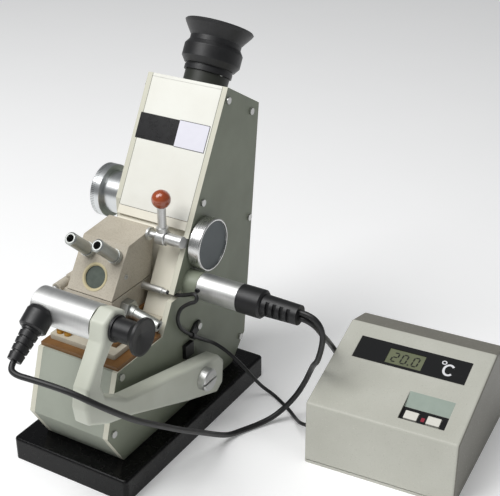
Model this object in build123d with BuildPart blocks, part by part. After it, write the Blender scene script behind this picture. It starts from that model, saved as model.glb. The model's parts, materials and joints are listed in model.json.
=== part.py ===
"""Abbe refractometer: sloping cast body with a hinged pair of prism boxes, a swinging lamp
arm, a scale lamp, two side dials and a tilted eyepiece, with its separate thermometer box.

Millimetres. The origin is the centre of the base plate's underside. The instrument faces -Y,
its right-hand side is +X and +Z is up.
"""

import os
from math import atan2, cos, degrees, pi, radians, sin, sqrt, tan

from build123d import *

os.makedirs("parts", exist_ok=True)

# ------------------------------------------------------------------ fits and thicknesses
RUNNING_GAP = 0.05  # radial, between a shaft and its bore
LOOSE_GAP = 0.3  # between curved parts that only pass each other
FACE_GAP = 0.2  # along a shaft, between faces that turn on each other
PLATE_T = 4.5  # side plates
COVER_T = 2.5  # front, top, rear and lower covers
COVER_GAP = 0.1  # each side, between a cover and a side plate
EDGE_BREAK = 0.6  # small chamfer on machined edges

# ------------------------------------------------------------------ base
BASE_W = 106.0
BASE_D = 195.0
BASE_T = 19.0
BASE_CORNER_R = 3.5
BASE_EDGE_R = 2.2
PAD_R = 8.0
PAD_T = 1.5
PAD_INSET = 14.0

# ------------------------------------------------------------------ body, side view
BODY_W = 72.0
TOWER_LEAN = 30.0  # degrees from the vertical
TOP_FRONT_Y = 74.0
TOP_Z = 262.0
TOP_LENGTH = 52.0  # of the sloping top, front edge to rear edge
SHELF_Z = 96.0
SHELF_FRONT_Y = -78.0
NOSE_Y = -94.0
NOSE_Z = 48.0
FOOT_FRONT_Y = -77.0
FOOT_REAR_Y = 75.0
BACK_LOW_Y = 95.0
BACK_LOW_Z = 39.0
BACK_FOOT_Y = 85.0
BACK_FOOT_Z = 29.0
RECESS_REAR_Y = 24.0  # front edge of the left plate beside the prisms

HALF_W = BODY_W / 2
INNER_X = HALF_W - PLATE_T
COVER_X = INNER_X - COVER_GAP
LEAN_SIN = sin(radians(TOWER_LEAN))
LEAN_COS = cos(radians(TOWER_LEAN))


def slope(down, deep):
    """(y, z) of a point that far down the tower's front from its top edge, and that deep."""
    y = TOP_FRONT_Y - down * LEAN_SIN + deep * LEAN_COS
    z = TOP_Z - down * LEAN_COS - deep * LEAN_SIN
    return (y, z)


TOP_FRONT = slope(0, 0)
TOP_REAR = slope(0, TOP_LENGTH)
SHELF_REAR = (TOP_FRONT_Y - (TOP_Z - SHELF_Z) * tan(radians(TOWER_LEAN)), SHELF_Z)
SHELF_FRONT = (SHELF_FRONT_Y, SHELF_Z)
NOSE = (NOSE_Y, NOSE_Z)
FOOT_FRONT = (FOOT_FRONT_Y, BASE_T)
FOOT_REAR = (FOOT_REAR_Y, BASE_T)
BACK_FOOT = (BACK_FOOT_Y, BACK_FOOT_Z)
BACK_LOW = (BACK_LOW_Y, BACK_LOW_Z)

# ------------------------------------------------------------------ tower front and optics
FRONT_COVER_END = 104.0  # down the slope
FRAME_BAR_START = 104.3
FRAME_BAR_END = 111.0
OPTIC_DEPTH = TOP_LENGTH / 2  # the optical axis runs this deep behind the tower's front
TUBE_R = 13.0
TUBE_BORE_R = 11.0
TUBE_IN = 79.0  # telescope tube, below the top
TUBE_OUT = 16.0  # and above it
UPPER_BULKHEAD = (72.0, 84.2)  # down the slope
LOWER_BULKHEAD = (107.5, FRAME_BAR_END)
BULKHEAD_DEPTH = (3.0, 47.0)
BULKHEAD_RIGHT = 19.0  # leaves room for the scale sector
WEB_T = 3.0
CELL_R = 16.5
CELL_JOURNAL_R = 9.0
CELL_BORE_R = 6.5
CELL_BODY = 6.0
CELL_JOURNAL = 3.6
GEAR_DOWN = 95.5  # dispersion shaft, down the slope
CROWN_TEETH = 40
PINION_TEETH = 12
GEAR_MODULE = 0.7
CROWN_FACE = 3.2

# ------------------------------------------------------------------ dials and scale
DIAL_R = 21.5
DIAL_BAND = 9.0
DIAL_OUT_X = -65.0
DIAL_HUB_R = 17.0
DIAL_STEP_R = 12.0
DIAL_STEP_X = -42.0
SHAFT_R = 2.0
KNOB_Y = 33.0
KNOB_Z = 151.5
KNOB_R = 20.5
KNOB_X = 37.0
KNOB_T = 10.0
KNOB_SHAFT_R = 4.0
KNOB_PIN_R = 2.5
KNOB_DISH = 1.2
KNOB_RIM = 1.4
SECTOR_TEETH = 120
KNOB_TEETH = 14
SCALE_MODULE = 0.8
MESH_FALL = 57.2  # degrees below the horizontal, from the knob back to the sector's stud
MESH_SLACK = 0.02
SECTOR_X = 22.5
SECTOR_T = 4.0
SECTOR_SPAN = 56.0  # degrees of toothed rim
SCALE_IN_R = 40.0
SCALE_OUT_R = 53.0
SCALE_SPAN = 34.0  # degrees of glass beyond the toothed rim
SCALE_T = 2.0
STUD_R = 3.0
STUD_BOSS_R = 5.0

# ------------------------------------------------------------------ eyepiece, up the axis
COLLAR_R = 17.6
COLLAR_H = 10.0
RING_R = 19.0
RING_END = 14.0
NECK_R = 18.2
BARREL_FOOT_R = 20.0
BARREL_R = 23.2
BARREL_RIM_R = 20.8
BARREL_START = 15.5
BARREL_FULL = 20.0  # where the taper of its foot ends
BARREL_CHAMFER = 29.5  # where the taper of its rim starts
BARREL_END = 33.0
CUP_WAIST_R = 20.4
CUP_WAIST_END = 37.0
CUP_R = 27.4
CUP_END = 48.5
CUP_WALL = 2.2
LENS_R = 12.0

# ------------------------------------------------------------------ shelf and prism boxes
SHEET_T = 3.0
SHEET_HALF_W = 35.0
SHEET_FRONT_Y = -76.0
BED_T = 4.0
BED_LEFT = -32.0
BED_RIGHT = 27.0
BED_FRONT_Y = -69.0
BED_REAR_Y = 4.0
UPPER_SHEET_LEFT = -20.0
UPPER_SHEET_RIGHT = 22.0
UPPER_SHEET_FRONT_Y = -60.0
UPPER_SHEET_STEP_X = 16.0  # its right edge beside the lower nozzle
UPPER_SHEET_STEP_Y = -29.0
BOX_LEFT = -37.0
BOX_RIGHT = 4.6
BOX_FRONT_Y = -40.0
BOX_REAR_Y = 9.0
PARTING_Z = 125.5
PARTING_GAP = 0.9
LID_TOP_FRONT = (-16.0, 161.0)
LID_TOP_REAR = (16.5, 163.5)
BOX_WALL = 4.0
PRISM_LEFT = -30.0
PRISM_RIGHT = -0.5
PRISM_GAP = 0.2
PRISM_H = 15.0
WINDOW_X = -16.0
WINDOW_Z = 137.5
WINDOW_R = 10.0
WINDOW_GLASS_R = 8.0
WINDOW_GLASS_T = 2.5
HINGE_X = -44.0
HINGE_R = 4.0
HINGE_PIN_R = 2.0
HINGE_START_Y = -44.0
HINGE_END_Y = 0.0
HINGE_LID_START_Y = -31.7
HINGE_LID_END_Y = -10.3
HINGE_WEB = 5.5
HINGE_GAP = 0.3
NOZZLE_R = 5.0
NOZZLE_BORE_R = 3.0
NOZZLE_L = 29.0
NOZZLE_RISE = 43.1  # degrees that the upper ones point above the horizontal
NOZZLE_STAND = 0.95  # of the flange above the slanted face
NOZZLE_SHANK_R = 3.8
NOZZLE_SHANK = 5.0
NOZZLE_FLANGE_R = 5.6
NOZZLE_FLANGE = 4.0
UPPER_NOZZLES = ((-27.0, 152.0), (-2.8, 152.5))  # x and z of each root
LOWER_NOZZLE = (-25.0, 113.1)  # y and z of the one on the right
LOWER_NOZZLE_L = 31.5
LOWER_NOZZLE_DROP = 13.0  # degrees that its tube is bent down
LEFT_NOZZLE = (-21.0, 113.1)
LEFT_NOZZLE_L = 20.0
HEX_R = 8.0
HEX_T = 7.0
LOWER_TUBE_R = 4.4
LOWER_ROOT_R = 5.0  # of the thicker foot of the lower tubes
LOWER_ROOT_L = 6.5
LOWER_BORE_R = 2.4
PROBE_Y = -1.0
PROBE_Z = 121.4
PROBE_R = 2.9
PROBE_END_X = 23.0
PROBE_TIP_R = 2.1
PROBE_TIP_X = 27.0
CABLE_NOTCH = 2.4  # half the height of the notch in the plate's front edge
CABLE_NOTCH_Y = 4.0

# ------------------------------------------------------------------ prism lock
LOCK_Y = 8.5
LOCK_Z = 161.5
LOCK_SHAFT_R = 2.6
LOCK_START_X = 5.4
LOCK_DISC_R = 5.0
LOCK_DISC_T = 1.6
LOCK_HUB_X = (14.0, 22.0)
LOCK_HUB_R = 6.0
LOCK_STEM_R = 3.3
LOCK_COLLAR_R = 4.5
LOCK_SLEEVE_R = 4.6
LOCK_SLEEVE_END = 36.0
BALL_R = 7.3
BALL_Z = 192.7

# ------------------------------------------------------------------ scale lamp
LAMP_Y = 16.0
LAMP_Z = 124.5
LAMP_COLLAR_R = 10.9
LAMP_COLLAR_END = 48.0
LAMP_TUBE_R = 10.6
LAMP_TUBE_END = 82.0
LAMP_WALL = 1.5
LAMP_LIGHT_R = 6.0
PLUG_R = 11.0
PLUG_END = 102.0
BOOT_R = 8.3
BOOT_TIP_R = 7.6
BOOT_END = 131.0
BOOT_RIBS = 4
LAMP_BULB_L = 22.0

# ------------------------------------------------------------------ lamp arm
ARM_X = 41.0
ARM_T = 13.0
ARM_EDGE_R = 3.5
PIVOT_Y = 4.3
PIVOT_Z = 50.4
PIVOT_R = 4.0
PIVOT_BOSS_R = 10.0
PIVOT_HEAD_R = 9.0
PIVOT_HEAD_T = 7.0
SLOT_W = 2.0
SLOT_DEPTH = 2.0
ARM_LAMP_Y = -98.0
ARM_LAMP_Z = 150.0
ARM_TUBE_R = 13.0
ARM_TUBE_WALL = 1.6
ARM_TUBE_START = -10.5
ARM_SPIGOT_R = 6.0
ARM_SPIGOT_END = 62.0
LIGHT_SLOT_W = 16.0
LIGHT_SLOT_L = 24.0
ARM_WASHER_R = 9.5
ARM_WASHER_END = 56.0
ARM_NECK_R = 8.3
ARM_NECK_END = 69.0
ARM_DISH_R = 13.3
ARM_DISH_END = 76.5
ARM_DISH_DEPTH = 3.0
# side outline of the arm, (y, z), from its tail along the underside to the lamp and back
ARM_OUTLINE = [
    (35, 50),
    (33, 30),
    (24, 25),
    (-15, 40),
    (-84, 70),
    (-112, 80),
    (-132, 91),
    (-134, 104),
    (-131, 119),
    (-122, 131),
    (-112, 145),
    (-109, 158),
    (-98, 163.5),
    (-86, 158),
    (-84.5, 149),
    (-92, 139),
    (-102, 139),
    (-112, 128),
    (-117, 115),
    (-113, 103),
    (-90, 88),
    (-46, 77),
    (28, 58),
]
ELBOW_CENTRE = (-114.7, 148.3)  # y and z of the middle of the elbow plug's body
ELBOW_DROP = 35.3  # degrees that the body's axis points below the horizontal
# radius and distance along the body's axis, from its domed top to the foot of its boot
ELBOW_PROFILE = [(0, -9.5), (6, -9.5), (8.6, -8), (10, -5), (10, 6.3), (8.8, 7.5)]
ELBOW_END = 7.5
ELBOW_SPIGOT_R = 4.0
ELBOW_SPIGOT_START = 9.0  # from the lamp's axis
ELBOW_BOOT_R = 7.0
ELBOW_TIP_R = 5.2
ELBOW_BOOT_END = 31.6
ELBOW_GROOVES = 4
ELBOW_GROOVE_W = 1.6
ELBOW_GROOVE_DEPTH = 1.0

# ------------------------------------------------------------------ thermometer box
CASE_X = 140.0
CASE_Y = 11.0
CASE_TURN = 4.14  # degrees about +Z
CASE_W = 118.0
CASE_FRONT_H = 54.5
CASE_RIDGE = (88.6, 78.7)
CASE_BEVEL = (116.0, 70.6)
CASE_D = 125.0
CASE_WALL = 2.2
CASE_EDGE_R = 2.0
CASE_FLOOR_T = 3.0
CASE_GROOVE = 0.8  # depth and height of the joint line
DISPLAY = (14.6, CASE_W - 14.3, 55.0, 77.8)  # left, right, low and high, up the sloping panel
LCD = (CASE_W - 78.0, CASE_W - 49.2, 57.4, 72.7)
RECESS = (CASE_W - 49.4, CASE_W - 14.4, 9.8, 37.2)
RECESS_STEP = 23.3
RECESS_DEPTH = 2.6
RECESS_FLOOR_T = 2.4
DISPLAY_T = 2.0
LCD_T = 4.0
BUTTONS = {"button_left": (CASE_W - 41.4, 15.9), "button_right": (CASE_W - 24.4, 16.1)}
BUTTON_W = 10.0
BUTTON_H = 7.4
BUTTON_PROUD = 1.4
BUTTON_FLANGE = 1.5
BOARD_Z = 22.0
BOARD_T = 1.6
BOARD_MARGIN = 12.0
POST_R = 3.5
SUPPLY_GLAND = (92.0, 35.0)  # y and z on the box's left side
PROBE_GLAND = (25.0, 14.0)
SUPPLY_BORE_R = 3.5
PROBE_BORE_R = 2.7
GLAND_RIM = 1.8
GLAND_L = 7.0  # of the supply gland out to the middle of its elbow
GLAND_ELBOW_R = 4.2
GLAND_ELBOW_L = 12.0  # from the elbow's middle to the end of the lead
PROBE_GLAND_L = 5.0

# ------------------------------------------------------------------ screws and clip
SCREW_HEAD_R = 2.7
SCREW_HEAD_T = 1.6
SCREW_SHANK_R = 1.5
SCREW_DEPTH = 3.5
SCREW_INSET = 9.0
CLIP_T = 2.2
CLIP_W = 5.0
CLIP_WALL = 0.7
CLIP_Y = 14.6  # it holds the run of the probe lead whose middle is nearest this y and z
CLIP_Z = 78.2
CLIP_STRAP = [(12.5, 80.5), (15.5, 75.5), (26, 79.5), (26, 86.5), (19, 86.5)]  # (y, z)
ANCHOR_T = 3.4
ANCHOR_Y = (3.0, 14.0)
ANCHOR_Z = (63.0, 74.5)

# ------------------------------------------------------------------ cords
LEAD_D = 4.4
PROBE_LEAD_D = 3.0
LAMP_LEAD_ROUTE = [
    (0, -140.49, 130.04),
    (0, -145.2, 126.7),
    (7, -147.5, 125.2),
    (18, -145.6, 124.6),
    (32, -143, 123.2),
    (47, -139.7, 120.6),
    (60.5, -133, 112.5),
    (67.5, -120.5, 100),
    (71, -103.5, 84.3),
    (73, -80, 66),
    (74.5, -55, 46.5),
    (75, -32, 30),
    (75, -12, 15),
    (76.5, 4, 4.5),
    (80.5, 17, 2.3),
    (87.5, 30, 2.3),
    (95, 42, 5),
    (102.5, 50, 13.5),
    (110.5, 53.5, 26),
    (118, 53, 42),
    (126, 47, 60),
    (135, 33, 74),
    (142.5, 23.5, 84.5),
    (147, 20, 98),
    (149.5, 18, 111),
    (147, 16.8, 121),
    (139.5, 16, 127),
    (131, 16, 127),
]
SUPPLY_LEAD_ROUTE = [
    (131, 16, 122),
    (137, 16, 122),
    (141, 22.5, 114.5),
    (139.7, 34, 102),
    (137.3, 45, 91.8),
    (133.5, 58, 80.5),
    (129.8, 70, 70),
    (128.2, 80, 59.5),
    (127.35, 88.85, 48.44),
    (126.99, 93.79, 43.49),
]
PROBE_LEAD_ROUTE = [
    (27, -1, 121.4),
    (36, -1, 121.4),
    (45, -1, 124.5),
    (53, -1.5, 128.5),
    (56, -3.8, 123.6),
    (49, -5.5, 120.5),
    (42.2, -6.8, 114.6),
    (39.3, -6.8, 106),
    (38.8, -4.5, 97.5),
    (38.7, 2, 89.3),
    (38.8, 10, 82),
    (38.8, 18.5, 75),
    (38.8, 30.5, 66),
    (41, 41.5, 57.8),
    (50, 47, 49),
    (59, 54, 35.5),
    (66, 63, 18),
    (70, 71, 6.5),
    (77, 73.5, 1.6),
    (88, 67.5, 1.55),
    (99, 61.2, 1.55),
    (109, 52.5, 3.2),
    (117, 43.5, 8),
    (122.5, 37.6, 12),
    (127.522, 35.162, 14),
    (133.205, 35.573, 14),
]


# ------------------------------------------------------------------ shared constructions
def side_plane(x):
    """Plane for a side outline: its first coordinate is Y, its second Z, its normal +X."""
    return Plane.YZ.offset(x)


def side_solid(points, x_from, x_to, mode=Mode.ADD):
    """Extrude a closed (y, z) outline from one x to another."""
    with BuildSketch(side_plane(x_from)) as outline:
        with BuildLine():
            Polyline(*points, close=True)
        make_face()
    extrude(outline.sketch, amount=x_to - x_from, mode=mode)


def turning_plane(origin, direction):
    """Plane with its first coordinate radial and its second along the turning axis."""
    across = Plane(origin=origin, z_dir=direction)
    return Plane(origin=origin, x_dir=across.x_dir, z_dir=across.x_dir.cross(across.z_dir))


def turned(profile, origin, direction, mode=Mode.ADD):
    """Turn a closed (radius, distance along) profile about an axis."""
    with BuildSketch(turning_plane(origin, direction)) as half:
        with BuildLine():
            Polyline(*profile, close=True)
        make_face()
    revolve(half.sketch, axis=Axis(origin, direction), mode=mode)


def rod(radius, start, end, origin, direction, mode=Mode.ADD):
    """A plain cylinder between two distances along an axis."""
    turned([(0, start), (radius, start), (radius, end), (0, end)], origin, direction, mode)


def tube(radius, bore, start, end, origin, direction):
    """A plain tube between two distances along an axis."""
    turned([(bore, start), (radius, start), (radius, end), (bore, end)], origin, direction)


def block(x, y, z, mode=Mode.ADD):
    """A box between two x values, two y values and two z values."""
    with BuildSketch(Plane.XY.offset(z[0])) as outline:
        with Locations(((x[0] + x[1]) / 2, (y[0] + y[1]) / 2)):
            Rectangle(x[1] - x[0], y[1] - y[0])
    extrude(outline.sketch, amount=z[1] - z[0], mode=mode)


def gear_points(teeth, module, first, count, tip_share=0.75, root_share=1.1, thin=0.62):
    """(u, v) points of straight-flanked teeth, the first centred at the angle first."""
    pitch_r = teeth * module / 2
    root_r = pitch_r - root_share * module
    tip_r = pitch_r + tip_share * module
    half_root = degrees(thin * pi * module / 2 / pitch_r * 0.95)
    half_tip = half_root * 0.4
    points = []
    for index in range(count):
        middle = first + index * 360 / teeth
        for radius, side in (
            (root_r, -half_root),
            (tip_r, -half_tip),
            (tip_r, half_tip),
            (root_r, half_root),
        ):
            angle = radians(middle + side)
            points.append((radius * cos(angle), radius * sin(angle)))
    return points


def save(builder, name):
    """Label a finished piece and write it to its own file."""
    builder.part.label = name
    export_step(builder.part, f"parts/{name}.step")


# ------------------------------------------------------------------ base
PAD_X = BASE_W / 2 - PAD_INSET
PAD_Y = BASE_D / 2 - PAD_INSET

with BuildPart() as base_plate:
    with BuildSketch():
        RectangleRounded(BASE_W, BASE_D, BASE_CORNER_R)
    extrude(amount=BASE_T)
    fillet(base_plate.faces().sort_by(Axis.Z)[-1].edges(), BASE_EDGE_R)
    with BuildSketch():
        with GridLocations(2 * PAD_X, 2 * PAD_Y, 2, 2):
            Circle(PAD_R + LOOSE_GAP)
    extrude(amount=PAD_T, mode=Mode.SUBTRACT)
save(base_plate, "base_plate")


# ------------------------------------------------------------------ thermometer box frame
def case_plane(z=0.0):
    """Horizontal plane with the thermometer box's own X and Y."""
    return Plane(origin=(CASE_X, CASE_Y, z), x_dir=CASE_ACROSS, z_dir=(0, 0, 1))


CASE_ACROSS = Vector(cos(radians(CASE_TURN)), sin(radians(CASE_TURN)), 0)
CASE_BACK = Vector(-sin(radians(CASE_TURN)), cos(radians(CASE_TURN)), 0)
PANEL_RISE = atan2(CASE_RIDGE[1] - CASE_FRONT_H, CASE_RIDGE[0])
PANEL_UP = CASE_BACK * cos(PANEL_RISE) + Vector(0, 0, 1) * sin(PANEL_RISE)
PANEL_NORMAL = CASE_ACROSS.cross(PANEL_UP)
PANEL_ORIGIN = Vector(CASE_X, CASE_Y, CASE_FRONT_H)


def case_side_plane(x):
    """Upright plane at a distance across the box: first coordinate back, second up."""
    return Plane(
        origin=Vector(CASE_X, CASE_Y, 0) + CASE_ACROSS * x, x_dir=CASE_BACK, z_dir=CASE_ACROSS
    )


def panel_plane(height=0.0):
    """Plane of the sloping panel: first coordinate across, second up the slope."""
    return Plane(
        origin=PANEL_ORIGIN + PANEL_NORMAL * height, x_dir=CASE_ACROSS, z_dir=PANEL_NORMAL
    )


def panel_rectangle(limits, grow=0.0):
    """A rectangle on the panel between its left, right, low and high limits."""
    left, right, low, high = limits
    with Locations(((left + right) / 2, (low + high) / 2)):
        Rectangle(right - left + 2 * grow, high - low + 2 * grow)


CASE_PAD_X = CASE_W / 2 - PAD_INSET
CASE_PAD_Y = CASE_D / 2 - PAD_INSET

with BuildPart() as rubber_feet:
    with BuildSketch():
        with GridLocations(2 * PAD_X, 2 * PAD_Y, 2, 2):
            Circle(PAD_R)
    extrude(amount=PAD_T)
    with BuildSketch(case_plane()):
        with Locations((CASE_W / 2, CASE_D / 2)):
            with GridLocations(2 * CASE_PAD_X, 2 * CASE_PAD_Y, 2, 2):
                Circle(PAD_R)
    extrude(amount=PAD_T)
save(rubber_feet, "rubber_feet")

# ------------------------------------------------------------------ side plates
PLATE_OUTLINE = [FOOT_FRONT, NOSE, SHELF_FRONT, SHELF_REAR, TOP_FRONT, TOP_REAR]
PLATE_OUTLINE += [BACK_LOW, BACK_FOOT, FOOT_REAR]
TOWER_FRONT_AT_RECESS = TOP_Z - (TOP_FRONT_Y - RECESS_REAR_Y) / tan(radians(TOWER_LEAN))

# case screws of each side plate, (y, z)
SCREWS = [
    slope(SCREW_INSET, SCREW_INSET / 2),
    slope(SCREW_INSET, TOP_LENGTH - SCREW_INSET),
    (36, 183),
    (103, 143),
    (BACK_FOOT_Y + 2.5, BACK_LOW_Z - 1),
    (SHELF_FRONT_Y + 4, SHELF_Z - 5.4),
    (NOSE_Y + 7, NOSE_Z + 1),
]
CLIP_SCREW = (23.0, 83.0)
DIAL_CENTRE = slope(GEAR_DOWN, OPTIC_DEPTH)
KNOB_CENTRE = (KNOB_Y, KNOB_Z)
MESH_DISTANCE = (SECTOR_TEETH + KNOB_TEETH) * SCALE_MODULE / 2 + MESH_SLACK
STUD_CENTRE = (
    KNOB_Y + MESH_DISTANCE * cos(radians(MESH_FALL)),
    KNOB_Z - MESH_DISTANCE * sin(radians(MESH_FALL)),
)
RIGHT_AXIS = (1, 0, 0)


def on_side(centre, x=0.0):
    """Origin of an axis along X through a (y, z) point."""
    return (x, centre[0], centre[1])


with BuildPart() as side_plate_right:
    side_solid(PLATE_OUTLINE, INNER_X, HALF_W)
    with BuildSketch(side_plane(HALF_W)):
        with Locations(*[Vector(*point) for point in SCREWS], Vector(*CLIP_SCREW)):
            Circle(SCREW_SHANK_R + RUNNING_GAP)
    extrude(amount=-SCREW_DEPTH, mode=Mode.SUBTRACT)
    block(
        (INNER_X - 1, HALF_W + 1),
        (SHELF_REAR[0], CABLE_NOTCH_Y),
        (PROBE_Z - CABLE_NOTCH, PROBE_Z + CABLE_NOTCH),
        Mode.SUBTRACT,
    )
    rod(PIVOT_BOSS_R, HALF_W, ARM_X - FACE_GAP, on_side((PIVOT_Y, PIVOT_Z)), RIGHT_AXIS)
    rod(
        PIVOT_R + RUNNING_GAP,
        INNER_X - 1,
        ARM_X,
        on_side((PIVOT_Y, PIVOT_Z)),
        RIGHT_AXIS,
        Mode.SUBTRACT,
    )
    rod(
        KNOB_SHAFT_R + RUNNING_GAP,
        INNER_X - 1,
        HALF_W + 1,
        on_side(KNOB_CENTRE),
        RIGHT_AXIS,
        Mode.SUBTRACT,
    )
    rod(LAMP_LIGHT_R, INNER_X - 1, HALF_W + 1, on_side((LAMP_Y, LAMP_Z)), RIGHT_AXIS, Mode.SUBTRACT)
    # stud that carries the scale sector
    SECTOR_END_X = SECTOR_X + SECTOR_T
    rod(STUD_BOSS_R, SECTOR_END_X + FACE_GAP, INNER_X, on_side(STUD_CENTRE), RIGHT_AXIS)
    rod(STUD_R, SECTOR_X - 1, INNER_X, on_side(STUD_CENTRE), RIGHT_AXIS)
save(side_plate_right, "side_plate_right")

LEFT_OUTLINE = [FOOT_FRONT, NOSE, SHELF_FRONT, (RECESS_REAR_Y, SHELF_Z)]
LEFT_OUTLINE += [(RECESS_REAR_Y, TOWER_FRONT_AT_RECESS), TOP_FRONT, TOP_REAR]
LEFT_OUTLINE += [BACK_LOW, BACK_FOOT, FOOT_REAR]

with BuildPart() as side_plate_left:
    side_solid(LEFT_OUTLINE, -HALF_W, -INNER_X)
    with BuildSketch(side_plane(-HALF_W)):
        with Locations(*[Vector(*point) for point in SCREWS]):
            Circle(SCREW_SHANK_R + RUNNING_GAP)
    extrude(amount=SCREW_DEPTH, mode=Mode.SUBTRACT)
    rod(
        SHAFT_R + RUNNING_GAP,
        -HALF_W - 1,
        -INNER_X + 1,
        on_side(DIAL_CENTRE),
        RIGHT_AXIS,
        Mode.SUBTRACT,
    )
save(side_plate_left, "side_plate_left")

with BuildPart() as case_screws:
    for centre in SCREWS + [CLIP_SCREW]:
        start = HALF_W + (CLIP_T + RUNNING_GAP if centre == CLIP_SCREW else 0)
        rod(SCREW_SHANK_R, HALF_W - SCREW_DEPTH + FACE_GAP, start, on_side(centre), RIGHT_AXIS)
        rod(SCREW_HEAD_R, start, start + SCREW_HEAD_T, on_side(centre), RIGHT_AXIS)
    for centre in SCREWS:
        rod(SCREW_SHANK_R, -HALF_W, -HALF_W + SCREW_DEPTH - FACE_GAP, on_side(centre), RIGHT_AXIS)
        rod(SCREW_HEAD_R, -HALF_W - SCREW_HEAD_T, -HALF_W, on_side(centre), RIGHT_AXIS)
save(case_screws, "case_screws")

# ------------------------------------------------------------------ covers
OPTIC_POINT = (0, *slope(0, OPTIC_DEPTH))
OPTIC_DIR = (0, LEAN_SIN, LEAN_COS)  # up the optical axis

with BuildPart() as tower_front_cover:
    side_solid(
        [
            slope(COVER_T + COVER_GAP, 0),
            slope(COVER_T + COVER_GAP, COVER_T),
            slope(FRONT_COVER_END, COVER_T),
            slope(FRONT_COVER_END, 0),
        ],
        -COVER_X,
        COVER_X,
    )
save(tower_front_cover, "tower_front_cover")

with BuildPart() as top_cap:
    side_solid(
        [slope(0, 0), slope(0, TOP_LENGTH), slope(COVER_T, TOP_LENGTH), slope(COVER_T, 0)],
        -COVER_X,
        COVER_X,
    )
    rod(TUBE_R + COVER_GAP, -COVER_T - 1, 1, OPTIC_POINT, OPTIC_DIR, Mode.SUBTRACT)
save(top_cap, "top_cap")

REAR_START = slope(COVER_T + COVER_GAP, TOP_LENGTH)
with BuildPart() as rear_cover:
    with BuildSketch(side_plane(-COVER_X)):
        with BuildLine():
            inner = [
                (FOOT_REAR[0] - COVER_T, BASE_T),
                (BACK_FOOT[0] - COVER_T, BACK_FOOT_Z + COVER_T / 2),
                (BACK_LOW[0] - COVER_T, BACK_LOW_Z + COVER_T / 2),
                slope(COVER_T + COVER_GAP, TOP_LENGTH - COVER_T),
            ]
            outer = [FOOT_REAR, BACK_FOOT, BACK_LOW, REAR_START]
            Polyline(*inner, *reversed(outer), close=True)
        make_face()
    extrude(amount=2 * COVER_X)
save(rear_cover, "rear_cover")

FRONT_NORMAL_SHIFT = COVER_T * 1.05  # horizontal offset of the leaning lower front
with BuildPart() as lower_front_cover:
    side_solid(
        [
            (FOOT_FRONT[0], BASE_T),
            NOSE,
            SHELF_FRONT,
            (BED_REAR_Y, SHELF_Z),
            (BED_REAR_Y, SHELF_Z - COVER_T),
            (SHELF_FRONT[0] + FRONT_NORMAL_SHIFT * 0.8, SHELF_Z - COVER_T),
            (NOSE[0] + FRONT_NORMAL_SHIFT, NOSE_Z + COVER_T / 4),
            (FOOT_FRONT[0] + FRONT_NORMAL_SHIFT, BASE_T),
        ],
        -COVER_X,
        COVER_X,
    )
save(lower_front_cover, "lower_front_cover")

# ------------------------------------------------------------------ optical frame
RECESS_WALL_Y = 18.0
RECESS_WALL_T = 2.5
RECESS_SPLIT_X = 8.0
RIGHT_WALL_DEPTH = 9.0
BED_TOP_Z = SHELF_Z + SHEET_T + BED_T
UPPER_SHEET_TOP_Z = BED_TOP_Z + SHEET_T


def slope_at_z(z, deep):
    """(y, z) of the point at a height on a line parallel to the tower's front."""
    down = (TOP_Z - deep * LEAN_SIN - z) / LEAN_COS
    return slope(down, deep)


def slope_height(y, deep):
    """Height of the point at a given y on a line parallel to the tower's front."""
    down = (TOP_FRONT_Y + deep * LEAN_COS - y) / LEAN_SIN
    return slope(down, deep)[1]


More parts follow.
